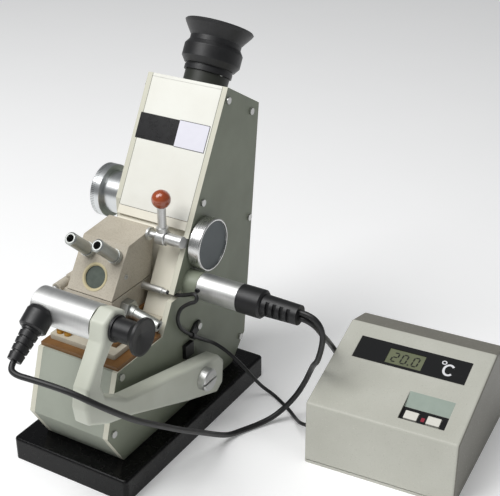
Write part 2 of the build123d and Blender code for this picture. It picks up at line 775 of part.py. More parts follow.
with BuildPart() as optical_frame:
    # visible bar below the front cover
    side_solid(
        [
            slope(FRAME_BAR_START, 0),
            slope(FRAME_BAR_START, WEB_T * 2),
            slope(FRAME_BAR_END, WEB_T * 2),
            slope(FRAME_BAR_END, 0),
        ],
        -COVER_X,
        COVER_X,
    )
    for down_from, down_to in (UPPER_BULKHEAD, LOWER_BULKHEAD):
        side_solid(
            [
                slope(down_from, BULKHEAD_DEPTH[0]),
                slope(down_from, BULKHEAD_DEPTH[1]),
                slope(down_to, BULKHEAD_DEPTH[1]),
                slope(down_to, BULKHEAD_DEPTH[0]),
            ],
            -COVER_X,
            BULKHEAD_RIGHT,
        )
    # rear web that joins the bulkheads
    side_solid(
        [
            slope(UPPER_BULKHEAD[0], BULKHEAD_DEPTH[1]),
            slope(UPPER_BULKHEAD[0], BULKHEAD_DEPTH[1] - WEB_T),
            slope(LOWER_BULKHEAD[1], BULKHEAD_DEPTH[1] - WEB_T),
            slope(LOWER_BULKHEAD[1], BULKHEAD_DEPTH[1]),
        ],
        -COVER_X,
        BULKHEAD_RIGHT,
    )
    # wall behind the prism boxes
    side_solid(
        [
            (RECESS_WALL_Y, UPPER_SHEET_TOP_Z - SHEET_T),
            (RECESS_WALL_Y, slope_at_z(LOCK_Z, WEB_T)[1]),
            slope(LOWER_BULKHEAD[1] - 1, RECESS_WALL_T + 1),
            slope(LOWER_BULKHEAD[1] - 1, WEB_T * 3),
            (RECESS_WALL_Y + RECESS_WALL_T, slope_at_z(LOCK_Z, WEB_T)[1] - WEB_T),
            (RECESS_WALL_Y + RECESS_WALL_T, UPPER_SHEET_TOP_Z - SHEET_T),
        ],
        -COVER_X,
        RECESS_SPLIT_X,
    )
    # slanting wall to the right of the prism boxes
    side_solid(
        [
            slope(LOWER_BULKHEAD[1] - 1, RIGHT_WALL_DEPTH),
            slope_at_z(BED_TOP_Z, RIGHT_WALL_DEPTH),
            slope_at_z(BED_TOP_Z, RIGHT_WALL_DEPTH + RECESS_WALL_T),
            slope(LOWER_BULKHEAD[1] - 1, RIGHT_WALL_DEPTH + RECESS_WALL_T),
        ],
        RECESS_SPLIT_X,
        COVER_X,
    )
    # closes the top of the slanting wall to the bar
    side_solid(
        [
            slope(LOWER_BULKHEAD[1] - 2, WEB_T),
            slope(LOWER_BULKHEAD[1], WEB_T),
            slope(LOWER_BULKHEAD[1], RIGHT_WALL_DEPTH + RECESS_WALL_T),
            slope(LOWER_BULKHEAD[1] - 2, RIGHT_WALL_DEPTH + RECESS_WALL_T),
        ],
        RECESS_SPLIT_X,
        COVER_X,
    )
    # return walls between the two depths, below and above where they cross
    wall_back = RECESS_WALL_Y + RECESS_WALL_T
    side_solid(
        [
            slope_at_z(UPPER_SHEET_TOP_Z, RIGHT_WALL_DEPTH),
            (wall_back, UPPER_SHEET_TOP_Z),
            (wall_back, slope_height(wall_back, RIGHT_WALL_DEPTH)),
        ],
        RECESS_SPLIT_X,
        RECESS_SPLIT_X + RECESS_WALL_T,
    )
    side_solid(
        [
            (RECESS_WALL_Y, slope_height(RECESS_WALL_Y, RIGHT_WALL_DEPTH + RECESS_WALL_T)),
            (RECESS_WALL_Y, LOCK_Z),
            slope(LOWER_BULKHEAD[1], RIGHT_WALL_DEPTH + RECESS_WALL_T),
        ],
        RECESS_SPLIT_X - RECESS_WALL_T,
        RECESS_SPLIT_X,
    )
    # bore for the telescope tube, bores for the two cells' journals
    rod(
        TUBE_R + RUNNING_GAP,
        -TUBE_IN,
        -UPPER_BULKHEAD[0] + 1,
        OPTIC_POINT,
        OPTIC_DIR,
        Mode.SUBTRACT,
    )
    rod(
        CELL_JOURNAL_R + RUNNING_GAP,
        -UPPER_BULKHEAD[1] - 1,
        -UPPER_BULKHEAD[0],
        OPTIC_POINT,
        OPTIC_DIR,
        Mode.SUBTRACT,
    )
    rod(
        CELL_JOURNAL_R + RUNNING_GAP,
        -LOWER_BULKHEAD[1] - 1,
        -LOWER_BULKHEAD[0] + 1,
        OPTIC_POINT,
        OPTIC_DIR,
        Mode.SUBTRACT,
    )
    # light port behind the lower prism
    LIGHT_PORT = (WINDOW_X + 8, RECESS_WALL_Y, PARTING_Z - 10)
    rod(CELL_BORE_R, -1, RECESS_WALL_T + 1, LIGHT_PORT, (0, 1, 0), Mode.SUBTRACT)
save(optical_frame, "optical_frame")

# ------------------------------------------------------------------ telescope
with BuildPart() as telescope_tube:
    tube(TUBE_R, TUBE_BORE_R, -TUBE_IN + FACE_GAP, TUBE_OUT, OPTIC_POINT, OPTIC_DIR)
save(telescope_tube, "telescope_tube")

OBJECTIVE_AT = -70.0
RETICLE_AT = 2.0
MIRROR_HALF = 7.0
MIRROR_T = 2.5
with BuildPart() as telescope_optics:
    lens_r = TUBE_BORE_R - RUNNING_GAP
    turned(
        [(0, OBJECTIVE_AT - 3), (lens_r, OBJECTIVE_AT - 1), (lens_r, OBJECTIVE_AT + 1)]
        + [(0, OBJECTIVE_AT + 3)],
        OPTIC_POINT,
        OPTIC_DIR,
    )
    rod(lens_r, RETICLE_AT, RETICLE_AT + 1.5, OPTIC_POINT, OPTIC_DIR)
    # mirror that turns the light from the lower prism up the telescope
    mirror_y = RECESS_WALL_Y + RECESS_WALL_T
    side_solid(
        [
            (mirror_y, LIGHT_PORT[2] - MIRROR_HALF - MIRROR_T),
            (mirror_y, LIGHT_PORT[2] - MIRROR_HALF),
            (mirror_y + 1.5 * MIRROR_HALF, LIGHT_PORT[2] + MIRROR_HALF / 2),
            (mirror_y + 1.5 * MIRROR_HALF + MIRROR_T, LIGHT_PORT[2] + MIRROR_HALF / 2),
        ],
        LIGHT_PORT[0] - MIRROR_HALF,
        LIGHT_PORT[0] + MIRROR_HALF,
    )
save(telescope_optics, "telescope_optics")

# ------------------------------------------------------------------ dispersion compensator
CROWN_R = CROWN_TEETH * GEAR_MODULE / 2
PINION_R = PINION_TEETH * GEAR_MODULE / 2
CROWN_ROOT = PINION_R + 1.15 * GEAR_MODULE  # from the dispersion shaft
CROWN_TIP = PINION_R - 0.8 * GEAR_MODULE
CROWN_PITCH = 360 / CROWN_TEETH


def compensator_cell(side):
    """A crown-toothed cell; side is +1 above the dispersion shaft and -1 below it."""
    shaft = -GEAR_DOWN
    root = shaft + side * CROWN_ROOT
    tip = shaft + side * CROWN_TIP
    back = root + side * CELL_BODY
    end = back + side * CELL_JOURNAL
    with BuildPart() as cell:
        turned(
            [
                (CELL_BORE_R, root),
                (CELL_R, root),
                (CELL_R, back),
                (CELL_JOURNAL_R, back),
                (CELL_JOURNAL_R, end),
                (CELL_BORE_R, end),
            ],
            OPTIC_POINT,
            OPTIC_DIR,
        )
        centre = Vector(*OPTIC_POINT) + Vector(*OPTIC_DIR) * root
        tooth_plane = Plane(origin=centre, x_dir=(1, 0, 0), z_dir=Vector(*OPTIC_DIR) * -side)
        tooth_h = abs(root - tip)
        tooth_w = 1.0
        with BuildSketch(tooth_plane):
            with PolarLocations(CROWN_R, CROWN_TEETH, start_angle=180 + CROWN_PITCH / 2):
                Rectangle(CROWN_FACE, tooth_w)
        with BuildSketch(tooth_plane.offset(tooth_h)):
            with PolarLocations(CROWN_R, CROWN_TEETH, start_angle=180 + CROWN_PITCH / 2):
                Rectangle(CROWN_FACE, tooth_w * 0.55)
        faces_low = cell.pending_faces[:CROWN_TEETH]
        faces_high = cell.pending_faces[CROWN_TEETH:]
        cell.pending_faces = []
        cell.pending_face_planes = []
        for low, high in zip(faces_low, faces_high):
            loft(sections=[low, high])
    return cell


compensator_cell_upper = compensator_cell(1)
save(compensator_cell_upper, "compensator_cell_upper")
compensator_cell_lower = compensator_cell(-1)
save(compensator_cell_lower, "compensator_cell_lower")

PINION_X = -CROWN_R - CROWN_FACE / 2
with BuildPart() as dispersion_pinion:
    # one tooth points straight up the optical axis, in mesh with the upper cell
    first = 90 - TOWER_LEAN
    with BuildSketch(Plane(origin=on_side(DIAL_CENTRE, PINION_X), x_dir=(0, 1, 0), z_dir=RIGHT_AXIS)):
        with BuildLine():
            Polyline(
                *gear_points(PINION_TEETH, GEAR_MODULE, first, PINION_TEETH, tip_share=0.9),
                close=True,
            )
        make_face()
        Circle(SHAFT_R + RUNNING_GAP / 2, mode=Mode.SUBTRACT)
    extrude(amount=CROWN_FACE)
save(dispersion_pinion, "dispersion_pinion")

with BuildPart() as dispersion_dial:
    band_x = DIAL_OUT_X + DIAL_BAND
    turned(
        [
            (0, DIAL_OUT_X + KNOB_DISH),
            (DIAL_R - 3, DIAL_OUT_X + KNOB_DISH),
            (DIAL_R - 3, DIAL_OUT_X),
            (DIAL_R - EDGE_BREAK, DIAL_OUT_X),
            (DIAL_R, DIAL_OUT_X + EDGE_BREAK),
            (DIAL_R, band_x - EDGE_BREAK),
            (DIAL_R - EDGE_BREAK, band_x),
            (DIAL_HUB_R, band_x),
            (DIAL_HUB_R, DIAL_STEP_X),
            (DIAL_STEP_R, DIAL_STEP_X),
            (DIAL_STEP_R, -HALF_W - FACE_GAP),
            (SHAFT_R, -HALF_W - FACE_GAP),
            (SHAFT_R, PINION_X + CROWN_FACE + 0.5),
            (0, PINION_X + CROWN_FACE + 0.5),
        ],
        on_side(DIAL_CENTRE),
        RIGHT_AXIS,
    )
save(dispersion_dial, "dispersion_dial")

# ------------------------------------------------------------------ measuring knob and scale
TO_KNOB = 180 - MESH_FALL  # degrees, seen from the sector's stud
FROM_KNOB = TO_KNOB + degrees(pi)

with BuildPart() as measuring_knob:
    knob_end = KNOB_X + KNOB_T
    turned(
        [
            (0, SECTOR_X - 1),
            (KNOB_PIN_R, SECTOR_X - 1),
            (KNOB_PIN_R, SECTOR_END_X + 1),
            (KNOB_SHAFT_R, SECTOR_END_X + 1),
            (KNOB_SHAFT_R, KNOB_X),
            (KNOB_R - EDGE_BREAK, KNOB_X),
            (KNOB_R, KNOB_X + EDGE_BREAK),
            (KNOB_R, knob_end - EDGE_BREAK),
            (KNOB_R - EDGE_BREAK, knob_end),
            (KNOB_R - KNOB_RIM, knob_end),
            (KNOB_R - KNOB_RIM, knob_end - KNOB_DISH),
            (0, knob_end - KNOB_DISH),
        ],
        on_side(KNOB_CENTRE),
        RIGHT_AXIS,
    )
save(measuring_knob, "measuring_knob")

with BuildPart() as knob_pinion:
    with BuildSketch(Plane(origin=on_side(KNOB_CENTRE, SECTOR_X), x_dir=(0, 1, 0), z_dir=RIGHT_AXIS)):
        with BuildLine():
            Polyline(*gear_points(KNOB_TEETH, SCALE_MODULE, FROM_KNOB, KNOB_TEETH), close=True)
        make_face()
        Circle(KNOB_PIN_R + RUNNING_GAP / 2, mode=Mode.SUBTRACT)
    extrude(amount=SECTOR_T)
save(knob_pinion, "knob_pinion")

SECTOR_PITCH = 360 / SECTOR_TEETH
SECTOR_COUNT = int(SECTOR_SPAN / SECTOR_PITCH)
SECTOR_FIRST = TO_KNOB - (SECTOR_COUNT / 2 - 0.5) * SECTOR_PITCH
if SECTOR_COUNT % 2:
    SECTOR_FIRST -= SECTOR_PITCH / 2
RIM_END = SECTOR_FIRST + (SECTOR_COUNT - 0.5) * SECTOR_PITCH
GLASS_END = RIM_END + SCALE_SPAN
SECTOR_HUB_R = 8.0


def polar(radius, angle):
    """(u, v) of a point at a radius and an angle in degrees."""
    return (radius * cos(radians(angle)), radius * sin(radians(angle)))


def sector_plane(x):
    """Side plane with its origin on the sector's stud."""
    return Plane(origin=on_side(STUD_CENTRE, x), x_dir=(0, 1, 0), z_dir=RIGHT_AXIS)


with BuildPart() as scale_sector:
    ARM_R = SCALE_IN_R + 2.5
    with BuildSketch(sector_plane(SECTOR_X)):
        with BuildLine():
            teeth = gear_points(SECTOR_TEETH, SCALE_MODULE, SECTOR_FIRST, SECTOR_COUNT)
            mid_angle = (RIM_END + GLASS_END) / 2
            Polyline(polar(SECTOR_HUB_R, SECTOR_FIRST - 40), *teeth, polar(ARM_R, RIM_END + 1))
            ThreePointArc(
                polar(ARM_R, RIM_END + 1), polar(ARM_R, mid_angle), polar(ARM_R, GLASS_END)
            )
            Polyline(
                polar(ARM_R, GLASS_END),
                polar(SECTOR_HUB_R, GLASS_END + 40),
                polar(SECTOR_HUB_R, SECTOR_FIRST - 40),
            )
        make_face()
        Circle(SECTOR_HUB_R)
        with Locations(polar(ARM_R * 0.62, TO_KNOB + 12)):
            Circle(ARM_R * 0.2, mode=Mode.SUBTRACT)
        Circle(STUD_R + RUNNING_GAP, mode=Mode.SUBTRACT)
    extrude(amount=SECTOR_T)
save(scale_sector, "scale_sector")

with BuildPart() as scale_disc:
    with BuildSketch(sector_plane(SECTOR_X - SCALE_T)):
        with BuildLine():
            glass_mid = (RIM_END + GLASS_END) / 2
            ThreePointArc(
                polar(SCALE_OUT_R, RIM_END + 1),
                polar(SCALE_OUT_R, glass_mid),
                polar(SCALE_OUT_R, GLASS_END),
            )
            Line(polar(SCALE_OUT_R, GLASS_END), polar(SCALE_IN_R, GLASS_END))
            ThreePointArc(
                polar(SCALE_IN_R, GLASS_END),
                polar(SCALE_IN_R, glass_mid),
                polar(SCALE_IN_R, RIM_END + 1),
            )
            Line(polar(SCALE_IN_R, RIM_END + 1), polar(SCALE_OUT_R, RIM_END + 1))
        make_face()
    extrude(amount=SCALE_T)
save(scale_disc, "scale_disc")

# ------------------------------------------------------------------ eyepiece
with BuildPart() as eyepiece_collar:
    collar_bore = TUBE_R + COVER_GAP
    turned(
        [
            (collar_bore, 0),
            (COLLAR_R + 1, 0),
            (COLLAR_R, 1),
            (COLLAR_R, COLLAR_H),
            (collar_bore, COLLAR_H),
        ],
        OPTIC_POINT,
        OPTIC_DIR,
    )
save(eyepiece_collar, "eyepiece_collar")

BARREL_BORE_R = TUBE_R + RUNNING_GAP
LENS_SEAT = TUBE_OUT + 2
with BuildPart() as eyepiece_barrel:
    turned(
        [
            (BARREL_BORE_R, COLLAR_H + FACE_GAP),
            (RING_R, COLLAR_H + FACE_GAP),
            (RING_R, RING_END),
            (NECK_R, RING_END),
            (NECK_R, BARREL_START),
            (BARREL_FOOT_R, BARREL_START),
            (BARREL_R, BARREL_FULL),
            (BARREL_R, BARREL_CHAMFER),
            (BARREL_RIM_R, BARREL_END),
            (LENS_R, BARREL_END),
            (LENS_R, LENS_SEAT),
            (BARREL_BORE_R, LENS_SEAT),
        ],
        OPTIC_POINT,
        OPTIC_DIR,
    )
save(eyepiece_barrel, "eyepiece_barrel")

with BuildPart() as eyepiece_lenses:
    lens_edge = LENS_R - RUNNING_GAP
    for seat, bulge in ((LENS_SEAT + 1, 1.5), (BARREL_END - 6, 2.0)):
        turned(
            [(0, seat), (lens_edge, seat), (lens_edge, seat + 2), (lens_edge / 2, seat + 2 + bulge * 0.75)]
            + [(0, seat + 2 + bulge)],
            OPTIC_POINT,
            OPTIC_DIR,
        )
save(eyepiece_lenses, "eyepiece_lenses")

with BuildPart() as eyecup:
    turned(
        [
            (LENS_R, BARREL_END),
            (CUP_WAIST_R, BARREL_END),
            (CUP_WAIST_R, CUP_WAIST_END),
            (CUP_R - 1, CUP_END - 3),
            (CUP_R, CUP_END - 1),
            (CUP_R - 1, CUP_END),
            (CUP_R - CUP_WALL, CUP_END),
            (CUP_WAIST_R - CUP_WALL, CUP_WAIST_END),
            (LENS_R, CUP_WAIST_END - 1.5),
        ],
        OPTIC_POINT,
        OPTIC_DIR,
    )
save(eyecup, "eyecup")

# ------------------------------------------------------------------ shelf
SHEET_TOP_Z = SHELF_Z + SHEET_T
with BuildPart() as insulating_sheets:
    block((-SHEET_HALF_W, SHEET_HALF_W), (SHEET_FRONT_Y, SHELF_REAR[0] - 1), (SHELF_Z, SHEET_TOP_Z))
    block((-SHEET_HALF_W, COVER_X), (SHELF_REAR[0] - 1, BED_REAR_Y), (SHELF_Z, SHEET_TOP_Z))
    block(
        (UPPER_SHEET_LEFT, UPPER_SHEET_RIGHT),
        (UPPER_SHEET_FRONT_Y, UPPER_SHEET_STEP_Y),
        (BED_TOP_Z, UPPER_SHEET_TOP_Z),
    )
    block(
        (UPPER_SHEET_LEFT, UPPER_SHEET_STEP_X),
        (UPPER_SHEET_STEP_Y, slope_at_z(BED_TOP_Z, 0)[0]),
        (BED_TOP_Z, UPPER_SHEET_TOP_Z),
    )
    block(
        (UPPER_SHEET_LEFT, RECESS_SPLIT_X - 1),
        (slope_at_z(BED_TOP_Z, 0)[0], BED_REAR_Y),
        (BED_TOP_Z, UPPER_SHEET_TOP_Z),
    )
save(insulating_sheets, "insulating_sheets")

with BuildPart() as prism_bed:
    block((BED_LEFT, BED_RIGHT), (BED_FRONT_Y, BED_REAR_Y), (SHEET_TOP_Z, BED_TOP_Z))
    bed_edges = prism_bed.edges().filter_by(Axis.Z).group_by(Axis.Y)[0]
    fillet(bed_edges, EDGE_BREAK * 2)
    # two cheese-head screws at the front left
    for screw_x in (BED_LEFT + 6, BED_LEFT + 13):
        with BuildSketch(Plane.XY.offset(BED_TOP_Z)):
            with Locations((screw_x, BED_FRONT_Y + 5)):
                Circle(SCREW_HEAD_R)
        extrude(amount=SCREW_HEAD_T * 1.6)
save(prism_bed, "prism_bed")

# ------------------------------------------------------------------ prism boxes
BOX_TOP_Z = PARTING_Z - PARTING_GAP / 2
LID_BOTTOM_Z = PARTING_Z + PARTING_GAP / 2
BOX_BOTTOM_Z = UPPER_SHEET_TOP_Z
LID_FRONT = (BOX_FRONT_Y, LID_BOTTOM_Z)
FACE_RUN = LID_TOP_FRONT[0] - LID_FRONT[0]
FACE_RISE = LID_TOP_FRONT[1] - LID_FRONT[1]
FACE_L = sqrt(FACE_RUN**2 + FACE_RISE**2)
FACE_NORMAL = (0, -FACE_RISE / FACE_L, FACE_RUN / FACE_L)
FACE_SLOPE = FACE_RUN / FACE_RISE
WALL_RUN = BOX_WALL * FACE_L / FACE_RISE  # the slanted wall, measured along Y
NOZZLE_DIR = (0, -cos(radians(NOZZLE_RISE)), sin(radians(NOZZLE_RISE)))


def on_face(x, z):
    """Point of the upper box's slanted front at a given x and z."""
    return (x, LID_FRONT[0] + (z - LID_FRONT[1]) * FACE_SLOPE, z)


LID_POCKET_TOP = LID_BOTTOM_Z + PRISM_H + 1.2
POCKET_FRONT_LOW = BOX_FRONT_Y + WALL_RUN
POCKET_FRONT_HIGH = POCKET_FRONT_LOW + (LID_POCKET_TOP - LID_BOTTOM_Z) * FACE_SLOPE
POCKET_REAR = BOX_REAR_Y - BOX_WALL - 2
HINGE_AXIS = (HINGE_X, 0, PARTING_Z)
BACKWARD = (0, 1, 0)

with BuildPart() as upper_prism_box:
    side_solid(
        [LID_FRONT, LID_TOP_FRONT, LID_TOP_REAR, (BOX_REAR_Y, LID_BOTTOM_Z)], BOX_LEFT, BOX_RIGHT
    )
    fillet(upper_prism_box.edges().filter_by(Axis.X).group_by(Axis.Z)[-1], EDGE_BREAK)
    block(
        (HINGE_X, BOX_LEFT),
        (HINGE_LID_START_Y, HINGE_LID_END_Y),
        (LID_BOTTOM_Z, LID_BOTTOM_Z + HINGE_WEB),
    )
    rod(HINGE_R, HINGE_LID_START_Y, HINGE_LID_END_Y, HINGE_AXIS, BACKWARD)
    rod(
        HINGE_PIN_R + RUNNING_GAP,
        HINGE_LID_START_Y - 1,
        HINGE_LID_END_Y + 1,
        HINGE_AXIS,
        BACKWARD,
        Mode.SUBTRACT,
    )
    side_solid(
        [
            (POCKET_FRONT_LOW, LID_BOTTOM_Z),
            (POCKET_FRONT_HIGH, LID_POCKET_TOP),
            (POCKET_REAR, LID_POCKET_TOP),
            (POCKET_REAR, LID_BOTTOM_Z),
        ],
        PRISM_LEFT - PRISM_GAP,
        PRISM_RIGHT + PRISM_GAP,
        Mode.SUBTRACT,
    )
    window_point = on_face(WINDOW_X, WINDOW_Z)
    rod(WINDOW_R, -WINDOW_GLASS_T, 1, window_point, FACE_NORMAL, Mode.SUBTRACT)
    rod(WINDOW_GLASS_R - 1, -BOX_WALL - 4, 1, window_point, FACE_NORMAL, Mode.SUBTRACT)
    for nozzle_x, nozzle_z in UPPER_NOZZLES:
        rod(
            NOZZLE_SHANK_R + RUNNING_GAP,
            -NOZZLE_SHANK,
            1,
            on_face(nozzle_x, nozzle_z),
            NOZZLE_DIR,
            Mode.SUBTRACT,
        )
save(upper_prism_box, "upper_prism_box")

with BuildPart() as prism_window:
    rod(
        WINDOW_R - RUNNING_GAP,
        -WINDOW_GLASS_T,
        -WINDOW_GLASS_T + 1.2,
        window_point,
        FACE_NORMAL,
    )
save(prism_window, "prism_window")

with BuildPart() as illuminating_prism:
    side_solid(
        [
            (POCKET_FRONT_LOW + 2 * PRISM_GAP, LID_BOTTOM_Z),
            (POCKET_FRONT_LOW + 2 * PRISM_GAP + PRISM_H * FACE_SLOPE, LID_BOTTOM_Z + PRISM_H),
            (POCKET_REAR - PRISM_GAP, LID_BOTTOM_Z),
        ],
        PRISM_LEFT,
        PRISM_RIGHT,
    )
save(illuminating_prism, "illuminating_prism")

with BuildPart() as upper_nozzles:
    for nozzle_x, nozzle_z in UPPER_NOZZLES:
        root = on_face(nozzle_x, nozzle_z)
        turned(
            [
                (NOZZLE_BORE_R, -NOZZLE_SHANK + FACE_GAP),
                (NOZZLE_SHANK_R, -NOZZLE_SHANK + FACE_GAP),
                (NOZZLE_SHANK_R, NOZZLE_STAND),
                (NOZZLE_FLANGE_R, NOZZLE_STAND),
                (NOZZLE_FLANGE_R, NOZZLE_STAND + NOZZLE_FLANGE),
                (NOZZLE_R, NOZZLE_STAND + NOZZLE_FLANGE),
                (NOZZLE_R, NOZZLE_L - 1),
                (NOZZLE_R - 1, NOZZLE_L),
                (NOZZLE_BORE_R, NOZZLE_L),
            ],
            root,
            NOZZLE_DIR,
        )
save(upper_nozzles, "upper_nozzles")

with BuildPart() as lower_prism_box:
    block((BOX_LEFT, BOX_RIGHT), (BOX_FRONT_Y, BOX_REAR_Y), (BOX_BOTTOM_Z, BOX_TOP_Z))
    block(
        (PRISM_LEFT - PRISM_GAP, PRISM_RIGHT + PRISM_GAP),
        (POCKET_FRONT_LOW, POCKET_REAR),
        (BOX_TOP_Z - PRISM_H - PRISM_GAP, BOX_TOP_Z),
        Mode.SUBTRACT,
    )
    exit_point = (LIGHT_PORT[0], POCKET_REAR - 1, LIGHT_PORT[2])
    rod(CELL_BORE_R - 1, 0, BOX_REAR_Y - POCKET_REAR + 2, exit_point, BACKWARD, Mode.SUBTRACT)
    for start_y, end_y in (
        (HINGE_START_Y, HINGE_LID_START_Y - HINGE_GAP),
        (HINGE_LID_END_Y + HINGE_GAP, HINGE_END_Y),
    ):
        rod(HINGE_R, start_y, end_y, HINGE_AXIS, BACKWARD)
        web_start = max(start_y, BOX_FRONT_Y)
        block((HINGE_X, BOX_LEFT), (web_start, end_y), (BOX_TOP_Z - HINGE_WEB - 3, BOX_TOP_Z))
        rod(HINGE_PIN_R + RUNNING_GAP, start_y - 1, end_y + 1, HINGE_AXIS, BACKWARD, Mode.SUBTRACT)
    for root, outward in (
        (on_side(LOWER_NOZZLE, BOX_RIGHT), RIGHT_AXIS),
        (on_side(LEFT_NOZZLE, BOX_LEFT), (-1, 0, 0)),
    ):
        rod(NOZZLE_SHANK_R + RUNNING_GAP, -NOZZLE_SHANK, 1, root, outward, Mode.SUBTRACT)
    rod(
        PROBE_TIP_R + RUNNING_GAP,
        BOX_RIGHT - NOZZLE_SHANK,
        BOX_RIGHT + 1,
        on_side((PROBE_Y, PROBE_Z)),
        RIGHT_AXIS,
        Mode.SUBTRACT,
    )
save(lower_prism_box, "lower_prism_box")

with BuildPart() as main_prism:
    side_solid(
        [
            (POCKET_FRONT_LOW + PRISM_GAP, BOX_TOP_Z),
            (POCKET_REAR - PRISM_GAP, BOX_TOP_Z),
            (POCKET_REAR - PRISM_GAP, BOX_TOP_Z - PRISM_H),
        ],
        PRISM_LEFT,
        PRISM_RIGHT,
    )
save(main_prism, "main_prism")

with BuildPart() as hinge_pin:
    turned(
        [
            (0, HINGE_START_Y - 2.3),
            (HINGE_PIN_R + 0.8, HINGE_START_Y - 2.3),
            (HINGE_PIN_R + 0.8, HINGE_START_Y - FACE_GAP),
            (HINGE_PIN_R, HINGE_START_Y - FACE_GAP),
            (HINGE_PIN_R, HINGE_END_Y + 0.6),
            (0, HINGE_END_Y + 0.6),
        ],
        HINGE_AXIS,
        BACKWARD,
    )
save(hinge_pin, "hinge_pin")

with BuildPart() as lower_nozzles:
    for root, side, length, drop in (
        (on_side(LOWER_NOZZLE, BOX_RIGHT), 1, LOWER_NOZZLE_L, LOWER_NOZZLE_DROP),
        (on_side(LEFT_NOZZLE, BOX_LEFT), -1, LEFT_NOZZLE_L, 0),
    ):
        outward = (side, 0, 0)
        rod(NOZZLE_SHANK_R, -NOZZLE_SHANK + FACE_GAP, 0, root, outward)
        with BuildSketch(Plane(origin=root, x_dir=BACKWARD, z_dir=outward)):
            RegularPolygon(HEX_R, 6)
        extrude(amount=HEX_T)
        # the tube leaves the middle of the hexagon, bent down where the hose hangs
        bend = (root[0] + side * HEX_T / 2, root[1], root[2])
        along = (side * cos(radians(drop)), 0, -sin(radians(drop)))
        rod(LOWER_ROOT_R, 0, LOWER_ROOT_L, bend, along)
        rod(LOWER_TUBE_R, 0, length - HEX_T / 2, bend, along)
        rod(LOWER_BORE_R, -1, length, bend, along, Mode.SUBTRACT)
        rod(LOWER_BORE_R, -NOZZLE_SHANK, HEX_T / 2, root, outward, Mode.SUBTRACT)
save(lower_nozzles, "lower_nozzles")

with BuildPart() as probe_sleeve:
    turned(
        [
            (0, BOX_RIGHT - NOZZLE_SHANK + FACE_GAP),
            (PROBE_TIP_R, BOX_RIGHT - NOZZLE_SHANK + FACE_GAP),
            (PROBE_TIP_R, BOX_RIGHT),
            (PROBE_R, BOX_RIGHT),
            (PROBE_R, PROBE_END_X),
            (PROBE_TIP_R, PROBE_END_X),
            (PROBE_TIP_R, PROBE_TIP_X),
            (0, PROBE_TIP_X),
        ],
        on_side((PROBE_Y, PROBE_Z)),
        RIGHT_AXIS,
    )
save(probe_sleeve, "probe_sleeve")

# ------------------------------------------------------------------ prism lock
LOCK_CENTRE = (LOCK_Y, LOCK_Z)
STEM_X = sum(LOCK_HUB_X) / 2
BALL_FLAT = 0.82 * BALL_R

with BuildPart() as lock_bearing:
    sleeve_start = LOCK_HUB_X[1] + FACE_GAP
    rod(LOCK_SLEEVE_R, sleeve_start, LOCK_SLEEVE_END, on_side(LOCK_CENTRE), RIGHT_AXIS)
    lock_down = (TOP_FRONT_Y - LOCK_Y) * LEAN_SIN + (TOP_Z - LOCK_Z) * LEAN_COS
    lock_deep = (LOCK_Y - TOP_FRONT_Y) * LEAN_COS + (TOP_Z - LOCK_Z) * LEAN_SIN
    foot_half = LOCK_SLEEVE_R * 0.8
    side_solid(
        [
            slope(lock_down - foot_half, lock_deep),
            slope(lock_down - foot_half, 0),
            slope(lock_down + foot_half, 0),
            slope(lock_down + foot_half, lock_deep),
        ],
        INNER_X,
        LOCK_SLEEVE_END,
    )
    rod(
        LOCK_SHAFT_R + RUNNING_GAP,
        sleeve_start - 1,
        LOCK_SLEEVE_END - 2,
        on_side(LOCK_CENTRE),
        RIGHT_AXIS,
        Mode.SUBTRACT,
    )
save(lock_bearing, "lock_bearing")

with BuildPart() as lock_lever:
    turned(
        [
            (0, LOCK_START_X),
            (LOCK_DISC_R, LOCK_START_X),
            (LOCK_DISC_R, LOCK_START_X + LOCK_DISC_T),
            (LOCK_SHAFT_R, LOCK_START_X + LOCK_DISC_T),
            (LOCK_SHAFT_R, LOCK_HUB_X[0]),
            (LOCK_HUB_R - EDGE_BREAK, LOCK_HUB_X[0]),
            (LOCK_HUB_R, LOCK_HUB_X[0] + EDGE_BREAK),
            (LOCK_HUB_R, LOCK_HUB_X[1] - EDGE_BREAK),
            (LOCK_HUB_R - EDGE_BREAK, LOCK_HUB_X[1]),
            (LOCK_SHAFT_R, LOCK_HUB_X[1]),
            (LOCK_SHAFT_R, LOCK_SLEEVE_END - 2 - FACE_GAP),
            (0, LOCK_SLEEVE_END - 2 - FACE_GAP),
        ],
        on_side(LOCK_CENTRE),
        RIGHT_AXIS,
    )
    stem_foot = (STEM_X, LOCK_Y, LOCK_Z)
    rod(LOCK_COLLAR_R, LOCK_HUB_R - 1, LOCK_HUB_R + 2.5, stem_foot, (0, 0, 1))
    rod(LOCK_STEM_R, 0, BALL_Z - LOCK_Z - BALL_FLAT, stem_foot, (0, 0, 1))
    rod(LOCK_STEM_R * 0.6, 0, BALL_Z - LOCK_Z, stem_foot, (0, 0, 1))
save(lock_lever, "lock_lever")

with BuildPart() as lock_ball:
    with BuildSketch(turning_plane((STEM_X, LOCK_Y, BALL_Z), (0, 0, 1))) as half_ball:
        Circle(BALL_R)
        with Locations((-BALL_R, 0)):
            Rectangle(2 * BALL_R, 3 * BALL_R, mode=Mode.SUBTRACT)
        with Locations((0, -BALL_FLAT - BALL_R)):
            Rectangle(3 * BALL_R, 2 * BALL_R, mode=Mode.SUBTRACT)
    revolve(axis=Axis((STEM_X, LOCK_Y, BALL_Z), (0, 0, 1)))
    rod(
        LOCK_STEM_R * 0.6 + RUNNING_GAP,
        -BALL_R,
        FACE_GAP,
        (STEM_X, LOCK_Y, BALL_Z),
        (0, 0, 1),
        Mode.SUBTRACT,
    )
save(lock_ball, "lock_ball")

# ------------------------------------------------------------------ scale lamp
LAMP_CENTRE = on_side((LAMP_Y, LAMP_Z))
LAMP_BORE_R = LAMP_TUBE_R - LAMP_WALL

